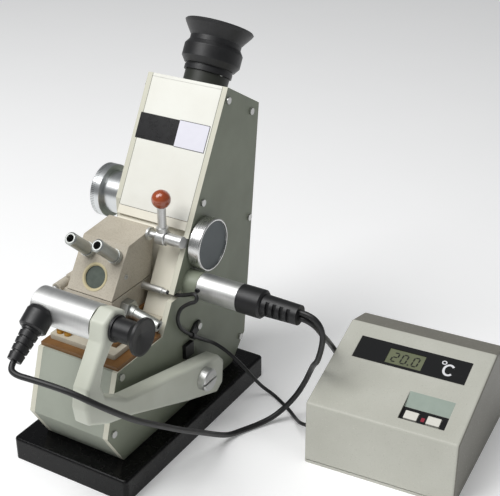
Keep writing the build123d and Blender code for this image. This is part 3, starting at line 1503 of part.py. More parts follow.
with BuildPart() as scale_lamp_collar:
    turned(
        [
            (LAMP_LIGHT_R, HALF_W),
            (LAMP_COLLAR_R, HALF_W),
            (LAMP_COLLAR_R, LAMP_COLLAR_END),
            (LAMP_BORE_R - 1, LAMP_COLLAR_END),
            (LAMP_LIGHT_R, HALF_W + 3),
        ],
        LAMP_CENTRE,
        RIGHT_AXIS,
    )
save(scale_lamp_collar, "scale_lamp_collar")

with BuildPart() as scale_lamp_tube:
    tube(LAMP_TUBE_R, LAMP_BORE_R, LAMP_COLLAR_END, LAMP_TUBE_END, LAMP_CENTRE, RIGHT_AXIS)
save(scale_lamp_tube, "scale_lamp_tube")

BULB_R = 3.5
BULB_CAP_R = 5.0


def bulb(start, end, centre, direction):
    """A small round-ended bulb with its cap, from its cap's face to its tip."""
    step = start + (end - start) * 0.4
    shoulder = end - (end - start) * 0.15
    turned(
        [
            (0, start),
            (BULB_CAP_R, start),
            (BULB_CAP_R, step),
            (BULB_R, step),
            (BULB_R, shoulder),
            (BULB_R / 2, end),
            (0, end),
        ],
        centre,
        direction,
    )


with BuildPart() as scale_lamp_bulb:
    bulb(-LAMP_TUBE_END, -LAMP_TUBE_END + LAMP_BULB_L, LAMP_CENTRE, (-1, 0, 0))
save(scale_lamp_bulb, "scale_lamp_bulb")

with BuildPart() as scale_lamp_plug:
    turned(
        [
            (0, LAMP_TUBE_END),
            (PLUG_R - 0.5, LAMP_TUBE_END),
            (PLUG_R, LAMP_TUBE_END + 0.5),
            (PLUG_R, PLUG_END - 1.5),
            (PLUG_R - 1.5, PLUG_END),
            (BOOT_R, PLUG_END),
            (BOOT_TIP_R, BOOT_END),
            (0, BOOT_END),
        ],
        LAMP_CENTRE,
        RIGHT_AXIS,
    )
    # the boot is slotted into ribs so that it can flex
    rib_pitch = (BOOT_END - PLUG_END - 6) / BOOT_RIBS
    for index in range(BOOT_RIBS):
        slot_x = PLUG_END + 4 + index * rib_pitch
        for side in (-1, 1):
            block(
                (slot_x, slot_x + rib_pitch / 2),
                sorted((LAMP_Y + side * BOOT_R * 0.62, LAMP_Y + side * BOOT_R * 1.2)),
                (LAMP_Z - BOOT_R, LAMP_Z + BOOT_R),
                Mode.SUBTRACT,
            )
save(scale_lamp_plug, "scale_lamp_plug")

# ------------------------------------------------------------------ lamp arm
PIVOT_CENTRE = on_side((PIVOT_Y, PIVOT_Z))
ARM_END_X = ARM_X + ARM_T
ARM_LAMP_CENTRE = on_side((ARM_LAMP_Y, ARM_LAMP_Z))

with BuildPart() as lamp_arm:
    side_solid(ARM_OUTLINE, ARM_X, ARM_END_X)
    fillet(lamp_arm.edges().filter_by(Axis.X), ARM_EDGE_R)
    fillet(lamp_arm.faces().sort_by(Axis.X)[-1].edges(), ARM_EDGE_R * 0.85)
    fillet(lamp_arm.faces().sort_by(Axis.X)[0].edges(), ARM_EDGE_R * 0.3)
    rod(PIVOT_R + RUNNING_GAP, ARM_X - 1, ARM_END_X + 1, PIVOT_CENTRE, RIGHT_AXIS, Mode.SUBTRACT)
    rod(
        ARM_SPIGOT_R + RUNNING_GAP,
        ARM_X - 1,
        ARM_END_X + 1,
        ARM_LAMP_CENTRE,
        RIGHT_AXIS,
        Mode.SUBTRACT,
    )
save(lamp_arm, "lamp_arm")

with BuildPart() as arm_pivot_screw:
    head_start = ARM_END_X + FACE_GAP
    head_end = head_start + PIVOT_HEAD_T
    turned(
        [
            (0, INNER_X),
            (PIVOT_R, INNER_X),
            (PIVOT_R, head_start),
            (PIVOT_HEAD_R, head_start),
            (PIVOT_HEAD_R, head_end - 1),
            (PIVOT_HEAD_R - 1, head_end),
            (0, head_end),
        ],
        PIVOT_CENTRE,
        RIGHT_AXIS,
    )
    block(
        (head_end - SLOT_DEPTH, head_end + 1),
        (PIVOT_Y - PIVOT_HEAD_R - 1, PIVOT_Y + PIVOT_HEAD_R + 1),
        (PIVOT_Z - SLOT_W / 2, PIVOT_Z + SLOT_W / 2),
        Mode.SUBTRACT,
    )
save(arm_pivot_screw, "arm_pivot_screw")

ELBOW_DIR = (0, -cos(radians(ELBOW_DROP)), -sin(radians(ELBOW_DROP)))
SPIGOT_DIR = (0, ELBOW_CENTRE[0] - ARM_LAMP_Y, ELBOW_CENTRE[1] - ARM_LAMP_Z)
TUBE_END_X = ARM_X - FACE_GAP

with BuildPart() as arm_lamp_tube:
    inner_r = ARM_TUBE_R - ARM_TUBE_WALL
    turned(
        [
            (0, ARM_TUBE_START),
            (ARM_TUBE_R - 1, ARM_TUBE_START),
            (ARM_TUBE_R, ARM_TUBE_START + 1),
            (ARM_TUBE_R, TUBE_END_X),
            (ARM_SPIGOT_R, TUBE_END_X),
            (ARM_SPIGOT_R, ARM_SPIGOT_END),
            (0, ARM_SPIGOT_END),
            (0, TUBE_END_X - 3),
            (inner_r, TUBE_END_X - 3),
            (inner_r, ARM_TUBE_START + 2),
            (0, ARM_TUBE_START + 2),
        ],
        ARM_LAMP_CENTRE,
        RIGHT_AXIS,
    )
    # light slot that faces the prism window
    block(
        (ARM_TUBE_START + 5, ARM_TUBE_START + 5 + LIGHT_SLOT_L),
        (ARM_LAMP_Y, ARM_LAMP_Y + ARM_TUBE_R + 1),
        (ARM_LAMP_Z - LIGHT_SLOT_W / 2, ARM_LAMP_Z + LIGHT_SLOT_W / 2),
        Mode.SUBTRACT,
    )
    rod(
        ELBOW_SPIGOT_R + RUNNING_GAP,
        0,
        ARM_TUBE_R + 1,
        ARM_LAMP_CENTRE,
        SPIGOT_DIR,
        Mode.SUBTRACT,
    )
save(arm_lamp_tube, "arm_lamp_tube")

with BuildPart() as arm_lamp_bulb:
    bulb(
        -ELBOW_SPIGOT_START,
        ELBOW_SPIGOT_START * 0.6,
        ARM_LAMP_CENTRE,
        tuple(-value for value in SPIGOT_DIR),
    )
save(arm_lamp_bulb, "arm_lamp_bulb")

with BuildPart() as arm_lamp_plug:
    elbow_centre = on_side(ELBOW_CENTRE)
    boot_l = ELBOW_BOOT_END - ELBOW_END
    turned(
        ELBOW_PROFILE
        + [(ELBOW_BOOT_R, ELBOW_END), (ELBOW_TIP_R, ELBOW_BOOT_END), (0, ELBOW_BOOT_END)],
        elbow_centre,
        ELBOW_DIR,
    )
    # saddle that fits round the lamp tube, with the spigot that goes through its wall
    saddle_r = ARM_TUBE_R + LOOSE_GAP / 3
    rod(saddle_r, -saddle_r, saddle_r, ARM_LAMP_CENTRE, RIGHT_AXIS, Mode.SUBTRACT)
    rod(ELBOW_SPIGOT_R, ELBOW_SPIGOT_START, ARM_TUBE_R + 2, ARM_LAMP_CENTRE, SPIGOT_DIR)
    groove_pitch = (boot_l - 2 * ELBOW_GROOVE_W) / ELBOW_GROOVES
    for index in range(ELBOW_GROOVES):
        start = ELBOW_END + ELBOW_GROOVE_W + index * groove_pitch
        share = (start - ELBOW_END) / boot_l
        outer_r = ELBOW_BOOT_R + 1
        groove_r = ELBOW_BOOT_R - share * (ELBOW_BOOT_R - ELBOW_TIP_R) - ELBOW_GROOVE_DEPTH
        turned(
            [
                (groove_r, start),
                (outer_r, start),
                (outer_r, start + ELBOW_GROOVE_W),
                (groove_r, start + ELBOW_GROOVE_W),
            ],
            elbow_centre,
            ELBOW_DIR,
            Mode.SUBTRACT,
        )
save(arm_lamp_plug, "arm_lamp_plug")

with BuildPart() as arm_lamp_knob:
    bore = ARM_SPIGOT_R + RUNNING_GAP
    turned(
        [
            (bore, ARM_END_X + FACE_GAP),
            (ARM_WASHER_R, ARM_END_X + FACE_GAP),
            (ARM_WASHER_R, ARM_WASHER_END),
            (ARM_NECK_R, ARM_WASHER_END),
            (ARM_NECK_R, ARM_NECK_END),
            (ARM_DISH_R - 1.5, ARM_DISH_END - 3.5),
            (ARM_DISH_R, ARM_DISH_END - 2),
            (ARM_DISH_R, ARM_DISH_END),
            (ARM_DISH_R - 1.5, ARM_DISH_END),
            (0, ARM_DISH_END - ARM_DISH_DEPTH),
            (0, ARM_SPIGOT_END + 1),
            (bore, ARM_SPIGOT_END + 1),
        ],
        ARM_LAMP_CENTRE,
        RIGHT_AXIS,
    )
save(arm_lamp_knob, "arm_lamp_knob")

# ------------------------------------------------------------------ cable clip
with BuildPart() as cable_clip:
    # strap from the screw to the ring round the probe lead
    clip_x = HALF_W + RUNNING_GAP
    side_solid(CLIP_STRAP, clip_x, HALF_W + CLIP_T)
    lead_runs = [
        (Vector(*start), Vector(*end)) for start, end in zip(PROBE_LEAD_ROUTE, PROBE_LEAD_ROUTE[1:])
    ]
    clip_place = Vector(HALF_W, CLIP_Y, CLIP_Z)
    held_run = min(lead_runs, key=lambda run: ((run[0] + run[1]) / 2 - clip_place).length)
    clip_ring = (held_run[0] + held_run[1]) / 2
    along_lead = held_run[1] - held_run[0]
    lead_bore_r = PROBE_LEAD_D / 2 + FACE_GAP
    rod(lead_bore_r + CLIP_WALL, -CLIP_W / 2, CLIP_W / 2, clip_ring, along_lead)
    rod(lead_bore_r, -2 * CLIP_W, 2 * CLIP_W, clip_ring, along_lead, Mode.SUBTRACT)
    rod(
        SCREW_SHANK_R + RUNNING_GAP,
        HALF_W - 1,
        HALF_W + CLIP_T + 1,
        on_side(CLIP_SCREW),
        RIGHT_AXIS,
        Mode.SUBTRACT,
    )
    # moulded cable anchor below the lead
    block((clip_x, clip_x + ANCHOR_T), ANCHOR_Y, ANCHOR_Z)
save(cable_clip, "cable_clip")

# ------------------------------------------------------------------ thermometer box
CASE_OUTLINE = [
    (0, CASE_FLOOR_T),
    (0, CASE_FRONT_H),
    CASE_RIDGE,
    CASE_BEVEL,
    (CASE_D, CASE_FLOOR_T),
]
CASE_INNER = [
    (CASE_WALL, CASE_FLOOR_T),
    (CASE_WALL, CASE_FRONT_H - CASE_WALL),
    (CASE_RIDGE[0], CASE_RIDGE[1] - CASE_WALL * 1.1),
    (CASE_BEVEL[0] - CASE_WALL * 0.8, CASE_BEVEL[1] - CASE_WALL * 1.1),
    (CASE_D - CASE_WALL, CASE_FLOOR_T),
]


def gland_origin(place):
    """Point on the outside of the box's left wall."""
    return Vector(CASE_X, CASE_Y, 0) + CASE_BACK * place[0] + Vector(0, 0, place[1])


LEFTWARD = CASE_ACROSS * -1

with BuildPart() as box_cover:
    with BuildSketch(case_side_plane(0)):
        with BuildLine():
            Polyline(*CASE_OUTLINE, close=True)
        make_face()
    extrude(amount=CASE_W)
    fillet([edge for edge in box_cover.edges() if edge.center().Z > 2 * CASE_FLOOR_T], CASE_EDGE_R)
    with BuildSketch(case_side_plane(CASE_WALL)):
        with BuildLine():
            Polyline(*CASE_INNER, close=True)
        make_face()
    extrude(amount=CASE_W - 2 * CASE_WALL, mode=Mode.SUBTRACT)
    # thicker panel under the button recess, then the recess itself
    with BuildSketch(panel_plane(-RECESS_DEPTH - RECESS_FLOOR_T)):
        panel_rectangle(RECESS, grow=CASE_WALL)
    extrude(amount=RECESS_DEPTH + RECESS_FLOOR_T - CASE_WALL / 2)
    recess_side = Plane(
        origin=PANEL_ORIGIN + CASE_ACROSS * RECESS[0], x_dir=PANEL_UP, z_dir=CASE_ACROSS
    )
    with BuildSketch(recess_side):
        with BuildLine():
            Polyline(
                (RECESS[2], 1),
                (RECESS[3], 1),
                (RECESS[3], 0),
                (RECESS_STEP, -RECESS_DEPTH),
                (RECESS[2], -RECESS_DEPTH),
                close=True,
            )
        make_face()
    extrude(amount=RECESS[1] - RECESS[0], mode=Mode.SUBTRACT)
    with BuildSketch(panel_plane(1)):
        panel_rectangle(DISPLAY)
        with Locations(*[Vector(*place) for place in BUTTONS.values()]):
            Rectangle(BUTTON_W + 2 * LOOSE_GAP, BUTTON_H + 2 * LOOSE_GAP)
    extrude(amount=-RECESS_DEPTH - RECESS_FLOOR_T - 3, mode=Mode.SUBTRACT)
    for place, bore_r in ((SUPPLY_GLAND, SUPPLY_BORE_R), (PROBE_GLAND, PROBE_BORE_R)):
        rod(bore_r, -CASE_WALL - 1, 1, gland_origin(place), LEFTWARD, Mode.SUBTRACT)
save(box_cover, "box_cover")

with BuildPart() as box_base:
    with BuildSketch(case_plane()):
        with Locations((CASE_W / 2, CASE_D / 2)):
            RectangleRounded(CASE_W, CASE_D, CASE_EDGE_R)
    extrude(amount=CASE_FLOOR_T)
    # joint line below the cover
    with BuildSketch(case_plane(CASE_FLOOR_T)):
        with Locations((CASE_W / 2, CASE_D / 2)):
            RectangleRounded(CASE_W, CASE_D, CASE_EDGE_R)
            RectangleRounded(
                CASE_W - 2 * CASE_GROOVE,
                CASE_D - 2 * CASE_GROOVE,
                CASE_EDGE_R - CASE_GROOVE,
                mode=Mode.SUBTRACT,
            )
    extrude(amount=-CASE_GROOVE, mode=Mode.SUBTRACT)
    with BuildSketch(case_plane()):
        with Locations((CASE_W / 2, CASE_D / 2)):
            with GridLocations(2 * CASE_PAD_X, 2 * CASE_PAD_Y, 2, 2):
                Circle(PAD_R + LOOSE_GAP)
    extrude(amount=PAD_T, mode=Mode.SUBTRACT)
    with BuildSketch(case_plane(CASE_FLOOR_T)):
        with Locations((CASE_W / 2, CASE_D / 2)):
            with GridLocations(CASE_W - 5 * BOARD_MARGIN, CASE_D - 5 * BOARD_MARGIN, 2, 2):
                Circle(POST_R)
    extrude(amount=BOARD_Z - CASE_FLOOR_T)
save(box_base, "box_base")

with BuildPart() as circuit_board:
    with BuildSketch(case_plane(BOARD_Z)):
        with Locations((CASE_W / 2, CASE_D / 2)):
            Rectangle(CASE_W - 2 * BOARD_MARGIN, CASE_D - 3 * BOARD_MARGIN)
    extrude(amount=BOARD_T)
    # transformer and regulator
    for across, back, wide, deep, high in ((30, 45, 28, 24, 20), (80, 70, 14, 10, 9)):
        with BuildSketch(case_plane(BOARD_Z + BOARD_T)):
            with Locations((across, back)):
                Rectangle(wide, deep)
        extrude(amount=high)
save(circuit_board, "circuit_board")

with BuildPart() as display_window:
    with BuildSketch(panel_plane(LOOSE_GAP)):
        panel_rectangle(DISPLAY, grow=-COVER_GAP)
        panel_rectangle(LCD)
    extrude(amount=-DISPLAY_T)
    with BuildSketch(panel_plane(LOOSE_GAP)):
        panel_rectangle(LCD)
    extrude(amount=-DISPLAY_T, mode=Mode.SUBTRACT)
    # rim that bears on the underside of the panel
    with BuildSketch(panel_plane(LOOSE_GAP - DISPLAY_T)):
        panel_rectangle(DISPLAY, grow=-COVER_GAP)
        panel_rectangle(LCD, grow=-COVER_GAP)
    extrude(amount=-1)
    with BuildSketch(panel_plane(1)):
        panel_rectangle(LCD)
    extrude(amount=-DISPLAY_T - 4, mode=Mode.SUBTRACT)
save(display_window, "display_window")

with BuildPart() as lcd_module:
    with BuildSketch(panel_plane(-LOOSE_GAP)):
        panel_rectangle(LCD, grow=-COVER_GAP)
    extrude(amount=-LCD_T)
    with BuildSketch(panel_plane(LOOSE_GAP - DISPLAY_T - 1)):
        panel_rectangle(LCD, grow=3)
    extrude(amount=-LCD_T)
save(lcd_module, "lcd_module")


def push_button(place):
    """A rectangular button with a flange under the panel; it travels down its hole."""
    with BuildPart() as button:
        floor = -RECESS_DEPTH
        under = floor - RECESS_FLOOR_T - FACE_GAP
        with BuildSketch(panel_plane(floor + BUTTON_PROUD)):
            with Locations(place):
                RectangleRounded(BUTTON_W, BUTTON_H, EDGE_BREAK)
        extrude(amount=-(BUTTON_PROUD + RECESS_FLOOR_T + FACE_GAP))
        with BuildSketch(panel_plane(under)):
            with Locations(place):
                Rectangle(BUTTON_W + 2 * BUTTON_FLANGE, BUTTON_H + 2 * BUTTON_FLANGE)
        extrude(amount=-BUTTON_FLANGE)
        with BuildSketch(panel_plane(under - BUTTON_FLANGE)):
            with Locations(place):
                Circle(BUTTON_FLANGE)
        extrude(amount=-BUTTON_FLANGE * 2)
    return button


button_left = push_button(BUTTONS["button_left"])
save(button_left, "button_left")
button_right = push_button(BUTTONS["button_right"])
save(button_right, "button_right")

def gland_foot(place, neck_r, tip_r, length):
    """The part of a gland that is turned about the axis of its hole in the wall."""
    turned(
        [
            (0, -CASE_WALL - 1),
            (neck_r, -CASE_WALL - 1),
            (neck_r, 0),
            (neck_r + GLAND_RIM, 0),
            (neck_r + GLAND_RIM, GLAND_RIM),
            (neck_r, GLAND_RIM),
            (tip_r, length),
            (0, length),
        ],
        gland_origin(place),
        LEFTWARD,
    )


with BuildPart() as box_glands:
    gland_foot(PROBE_GLAND, PROBE_BORE_R - RUNNING_GAP, PROBE_LEAD_D / 2 + EDGE_BREAK, PROBE_GLAND_L)
    supply_neck_r = SUPPLY_BORE_R - RUNNING_GAP
    gland_foot(SUPPLY_GLAND, supply_neck_r, supply_neck_r, GLAND_L)
    # elbow that points along the last run of the supply lead
    elbow_middle = gland_origin(SUPPLY_GLAND) + LEFTWARD * GLAND_L
    turned(
        [
            (0, -GLAND_ELBOW_R),
            (GLAND_ELBOW_R - 1, -GLAND_ELBOW_R),
            (GLAND_ELBOW_R, 1 - GLAND_ELBOW_R),
            (GLAND_ELBOW_R, GLAND_ELBOW_L - 3),
            (LEAD_D / 2 + EDGE_BREAK, GLAND_ELBOW_L),
            (0, GLAND_ELBOW_L),
        ],
        elbow_middle,
        Vector(*SUPPLY_LEAD_ROUTE[-2]) - Vector(*SUPPLY_LEAD_ROUTE[-1]),
    )
save(box_glands, "box_glands")


# ------------------------------------------------------------------ cords
def bend_radii(points):
    """The largest radius that each corner's two runs allow."""
    radii = []
    for before, corner, after in zip(points, points[1:], points[2:]):
        run_in = Vector(*corner) - Vector(*before)
        run_out = Vector(*after) - Vector(*corner)
        turn = radians(run_in.get_angle(run_out))
        shorter = min(run_in.length, run_out.length)
        radii.append(0.45 * shorter / tan(turn / 2))
    return radii


def cord(points, diameter, name):
    """A round cord along straight runs joined by tangent arcs."""
    radii = bend_radii(points)
    with BuildPart() as lead:
        with BuildLine() as route:
            FilletPolyline(*points, radius=radii)
        path = route.wire()
        with BuildSketch(Plane(origin=path @ 0, z_dir=path % 0)):
            Circle(diameter / 2)
        sweep()
    section = pi * diameter**2 / 4
    print(
        f"{name}: length {path.length:.1f}, radii",
        [round(radius, 1) for radius in radii],
        f"volume {lead.part.volume:.1f} of {section * path.length:.1f}",
    )
    save(lead, name)


cord(LAMP_LEAD_ROUTE, LEAD_D, "lamp_lead")
cord(SUPPLY_LEAD_ROUTE, LEAD_D, "supply_lead")
cord(PROBE_LEAD_ROUTE, PROBE_LEAD_D, "probe_lead")
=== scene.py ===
"""Looks of the abbe refractometer and its thermometer box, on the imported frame. Metres; the
sizes below are in millimetres and go through mm()."""

import json
from math import atan2, cos, pi, radians, sin

import bmesh
import bpy
from mathutils import Matrix, Vector


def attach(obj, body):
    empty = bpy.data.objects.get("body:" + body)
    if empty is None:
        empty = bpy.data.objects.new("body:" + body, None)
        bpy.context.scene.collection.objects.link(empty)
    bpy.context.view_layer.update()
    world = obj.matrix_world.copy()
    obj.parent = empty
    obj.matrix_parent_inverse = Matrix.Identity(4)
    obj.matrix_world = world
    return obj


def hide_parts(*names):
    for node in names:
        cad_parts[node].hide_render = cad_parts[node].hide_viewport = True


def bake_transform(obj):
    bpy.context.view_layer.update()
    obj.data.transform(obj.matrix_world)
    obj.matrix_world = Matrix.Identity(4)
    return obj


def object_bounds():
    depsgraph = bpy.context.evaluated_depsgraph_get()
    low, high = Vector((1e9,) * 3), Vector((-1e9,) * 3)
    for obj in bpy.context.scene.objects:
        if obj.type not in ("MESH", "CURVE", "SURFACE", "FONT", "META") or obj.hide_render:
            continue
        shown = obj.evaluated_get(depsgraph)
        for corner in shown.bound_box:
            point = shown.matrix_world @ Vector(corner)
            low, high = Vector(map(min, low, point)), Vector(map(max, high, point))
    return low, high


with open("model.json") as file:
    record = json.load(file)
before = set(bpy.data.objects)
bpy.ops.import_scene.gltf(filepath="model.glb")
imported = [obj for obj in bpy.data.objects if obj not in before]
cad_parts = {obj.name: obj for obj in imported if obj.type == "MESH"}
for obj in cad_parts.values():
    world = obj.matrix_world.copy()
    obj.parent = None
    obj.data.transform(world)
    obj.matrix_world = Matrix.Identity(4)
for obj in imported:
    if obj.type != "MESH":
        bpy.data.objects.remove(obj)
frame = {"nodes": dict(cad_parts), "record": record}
cad_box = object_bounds()


PER_METRE = 1000


def mm(*place):
    """A point or a length in millimetres, in metres."""
    return Vector(place) / PER_METRE if len(place) > 1 else place[0] / PER_METRE


# ---------------------------------------------------------------- camera
CAMERA_PLACE = (458.495, -598.442, 543.729)
CAMERA_TURN = 0.5409639858
CAMERA_DIP = 0.4826887387
CAMERA_ROLL = -0.0029771600
CAMERA_LENS = 81.07
CAMERA_SENSOR = 36


def set_camera():
    ahead = Vector(
        (-sin(CAMERA_TURN) * cos(CAMERA_DIP), cos(CAMERA_TURN) * cos(CAMERA_DIP), -sin(CAMERA_DIP))
    )
    level = ahead.cross(Vector((0, 0, 1))).normalized()
    upright = level.cross(ahead)
    across = cos(CAMERA_ROLL) * level + sin(CAMERA_ROLL) * upright
    up = -sin(CAMERA_ROLL) * level + cos(CAMERA_ROLL) * upright
    view = bpy.data.cameras.new("photo_view")
    view.lens = CAMERA_LENS
    view.sensor_width = CAMERA_SENSOR
    camera = bpy.data.objects.new("photo_view", view)
    turn = Matrix((across, up, -ahead)).transposed().to_4x4()
    camera.matrix_world = Matrix.Translation(mm(*CAMERA_PLACE)) @ turn
    bpy.context.scene.collection.objects.link(camera)
    bpy.context.scene.camera = camera


set_camera()


# ---------------------------------------------------------------- shader language
class Signal:
    """The output of a shader node, which can be used in sums as a number can."""

    def __init__(self, paint, socket):
        self.paint = paint
        self.socket = socket

    def maths(self, operation, *values):
        sockets = dict(enumerate(values))
        return self.paint.add("ShaderNodeMath", {"operation": operation}, sockets)

    def __add__(self, other):
        return self.maths("ADD", self, other)

    def __sub__(self, other):
        return self.maths("SUBTRACT", self, other)

    def __rsub__(self, other):
        return self.maths("SUBTRACT", other, self)

    def __mul__(self, other):
        return self.maths("MULTIPLY", self, other)

    def __pow__(self, other):
        return self.maths("POWER", self, other)

    def __gt__(self, other):
        return self.maths("GREATER_THAN", self, other)

    def __lt__(self, other):
        return self.maths("LESS_THAN", self, other)

    __radd__ = __add__
    __rmul__ = __mul__

    def greater(self, other):
        return self.maths("MAXIMUM", self, other)

    def fraction(self):
        return self.maths("FRACT", self)

    def turn_from(self, across):
        """The angle whose rise is this and whose run is the other."""
        return self.maths("ARCTAN2", self, across)


class Paint:
    """One procedural material: a principled shader and the nodes that feed it."""

    def __init__(self, name, **constants):
        self.material = bpy.data.materials.new(name)
        self.material.use_nodes = True
        self.tree = self.material.node_tree
        self.tree.nodes.clear()
        self.shader = self.tree.nodes.new("ShaderNodeBsdfPrincipled")
        output = self.tree.nodes.new("ShaderNodeOutputMaterial")
        self.tree.links.new(self.shader.outputs[0], output.inputs[0])
        for name, value in constants.items():
            self.put(name.replace("_", " ").title().replace("Ior", "IOR"), value)

    def plug(self, socket, value):
        if isinstance(value, Signal):
            self.tree.links.new(value.socket, socket)
        else:
            socket.default_value = value

    def add(self, kind, settings=None, sockets=None, out=0):
        """Any node: its type, its settings, then the values or links of its sockets."""
        node = self.tree.nodes.new(kind)
        for name, value in (settings or {}).items():
            setattr(node, name, value)
        for name, value in (sockets or {}).items():
            self.plug(node.inputs[name], value)
        return Signal(self, node.outputs[out])

    def put(self, name, value):
        self.plug(self.shader.inputs[name], value)
        return self

    def place(self):
        return self.add("ShaderNodeTexCoord", out=3)

    def along(self, scales):
        """Place on the piece with each direction scaled, so that grain can be drawn out."""
        settings = {"operation": "MULTIPLY"}
        return self.add("ShaderNodeVectorMath", settings, {0: self.place(), 1: scales})

    def facing(self, index):
        """One part of the direction that the surface faces: x, y or z."""
        normal = self.add("ShaderNodeNewGeometry", out=1)
        return self.add("ShaderNodeSeparateXYZ", sockets={0: normal}, out=index)

    def coordinate(self, index):
        """The place along x, y or z, in metres."""
        return self.add("ShaderNodeSeparateXYZ", sockets={0: self.place()}, out=index)

    def noise(self, size, detail=3.0, scales=(1, 1, 1)):
        """Soft mottle, 0 to 1, with marks about that many millimetres apart."""
        sockets = {"Vector": self.along(scales), "Scale": PER_METRE / size, "Detail": detail}
        return self.add("ShaderNodeTexNoise", sockets=sockets)

    def cells(self, size):
        """Distance from the nearest grain, for stipple and hammer marks."""
        sockets = {"Vector": self.place(), "Scale": PER_METRE / size}
        return self.add("ShaderNodeTexVoronoi", sockets=sockets)

    def band(self, value, low, high):
        """A number stretched from low..high to 0..1 and held there."""
        settings = {"clamp": True}
        return self.add("ShaderNodeMapRange", settings, {0: value, 1: low, 2: high})

    def mix(self, amount, first, second):
        settings = {"data_type": "RGBA"}
        return self.add("ShaderNodeMix", settings, {0: amount, 6: first, 7: second}, out=2)

    def rounded(self, radius):
        """Surface direction with the sharp edges eased, in millimetres."""
        return self.add("ShaderNodeBevel", {"samples": 4}, {"Radius": mm(radius)})

    def edge_wear_and_highlight(self, radius):
        """1 along sharp edges, 0 on the flats: for edge wear, and on the case for a painted
        highlight.
        """
        flat = self.add("ShaderNodeNewGeometry", out=1)
        settings = {"operation": "DOT_PRODUCT"}
        sockets = {0: self.rounded(radius), 1: flat}
        match = self.add("ShaderNodeVectorMath", settings, sockets, out=1)
        return self.band(1 - match, low=0.02, high=0.25)

    def relief(self, height, depth, edge=None):
        """Fine relief of that depth in millimetres, on eased edges."""
        sockets = {"Height": height, "Distance": mm(depth), "Strength": 1.0}
        if edge:
            sockets["Normal"] = self.rounded(edge)
        self.put("Normal", self.add("ShaderNodeBump", sockets=sockets))
        return self


def tone(red, green, blue):
    """A colour as it shows on a screen, 0 to 255, taken back through the sRGB curve."""
    shades = [value / 255 for value in (red, green, blue)]
    linear = [v / 12.92 if v <= 0.04045 else ((v + 0.055) / 1.055) ** 2.4 for v in shades]
    return (*linear, 1)


# ---------------------------------------------------------------- finishes
# Amounts that stand alone below are shares of 0 to 1; sizes, depths and radii are millimetres.
MARK_STRETCH = 0.03  # tool marks are drawn out this much along their own direction
MARK_START = 0.8  # a graduation is the last fifth of its step
RIM_BAND = 0.3  # and this far in from the rim
RIM_BLUR = 0.1
HEAD_START = 0.2  # brass starts this far above the prism bed's top


def baked_enamel(name, light, dark, gloss=0.38, grain=0.012, edge=0.5, edge_shade=None):
    """Sprayed and baked instrument enamel: faint orange peel, slight mottle, eased edges."""
    paint = Paint(name, specular_ior_level=0.5)
    mottle = paint.noise(size=38, detail=4)
    speck = paint.noise(size=0.7, detail=2)
    shade = paint.mix(paint.band(mottle, low=0.35, high=0.68), light, dark)
    shade = paint.mix(paint.band(speck, low=0.62, high=0.78) * 0.22, shade, dark)
    if edge_shade:
        shade = paint.mix(paint.edge_wear_and_highlight(edge * 0.7) * 0.55, shade, edge_shade)
    paint.put("Base Color", shade)
    paint.put("Roughness", gloss + paint.noise(size=6, detail=3) * 0.1)
    peel = paint.noise(size=0.9, detail=2)
    return paint.relief(peel, depth=grain, edge=edge)


def side_plate_enamel(name, light, dark, edge_shade):
    """A side plate: cream round its edge, and olive on its two wide faces as painted shade."""
    paint = Paint(name, specular_ior_level=0.5)
    # Painted shade: faces turned sideways take the olive, while the edges keep the cream.
    sideways = paint.facing(0)
    painted_shade_faces = paint.band(sideways * sideways, low=0.4, high=0.6)
    olive = paint.mix(paint.band(paint.noise(size=38, detail=4), low=0.35, high=0.68), light, dark)
    speck = paint.band(paint.noise(size=0.7, detail=2), low=0.62, high=0.78)
    olive = paint.mix(speck * 0.25, olive, dark)
    cream = paint.mix(paint.noise(size=5, detail=4) * 0.4, edge_shade, tone(196, 192, 172))
    paint.put("Base Color", paint.mix(painted_shade_faces, cream, olive))
    paint.put("Roughness", 0.4 + paint.noise(size=6, detail=3) * 0.1)
    return paint.relief(paint.noise(size=0.9, detail=2), depth=0.016, edge=0.5)


def gloss_black_enamel(name):
    paint = Paint(name, specular_ior_level=0.2)
    dust = paint.band(paint.noise(size=3.2, detail=6), low=0.55, high=0.8)
    shade = paint.mix(dust * 0.12, tone(8, 8, 9), tone(44, 44, 42))
    paint.put("Base Color", paint.mix(paint.edge_wear_and_highlight(radius=1.0) * 0.3, shade, tone(80, 81, 82)))
    paint.put("Roughness", 0.22 + dust * 0.25)
    return paint.relief(paint.noise(size=2.4, detail=2), depth=0.01, edge=1.2)


def rubber(name):
    paint = Paint(name)
    shade = paint.mix(paint.noise(size=1.5, detail=4), tone(18, 18, 18), tone(34, 33, 32))
    paint.put("Base Color", shade)
    paint.put("Roughness", 0.75 + paint.noise(size=4) * 0.15)
    return paint.relief(paint.noise(size=0.5, detail=3), depth=0.05)


def moulded_black(name, light=(27, 27, 29), gloss=0.36):
    """Black moulded plastic with a fine spark-eroded grain."""
    paint = Paint(name, specular_ior_level=0.5)
    shade = paint.mix(paint.noise(size=9, detail=4), tone(13, 13, 14), tone(*light))
    paint.put("Base Color", paint.mix(paint.edge_wear_and_highlight(radius=0.5) * 0.3, shade, tone(74, 75, 77)))
    paint.put("Roughness", gloss + paint.noise(size=2.5, detail=3) * 0.16)
    return paint.relief(paint.cells(size=0.45), depth=0.015, edge=0.4)


def lathe_lines(paint, axis, spacing):
    """Fine tool marks that run round the x, y or z axis."""
    scales = [1.0 if axis == along else MARK_STRETCH for along in "xyz"]
    return paint.noise(spacing, detail=3, scales=tuple(scales))


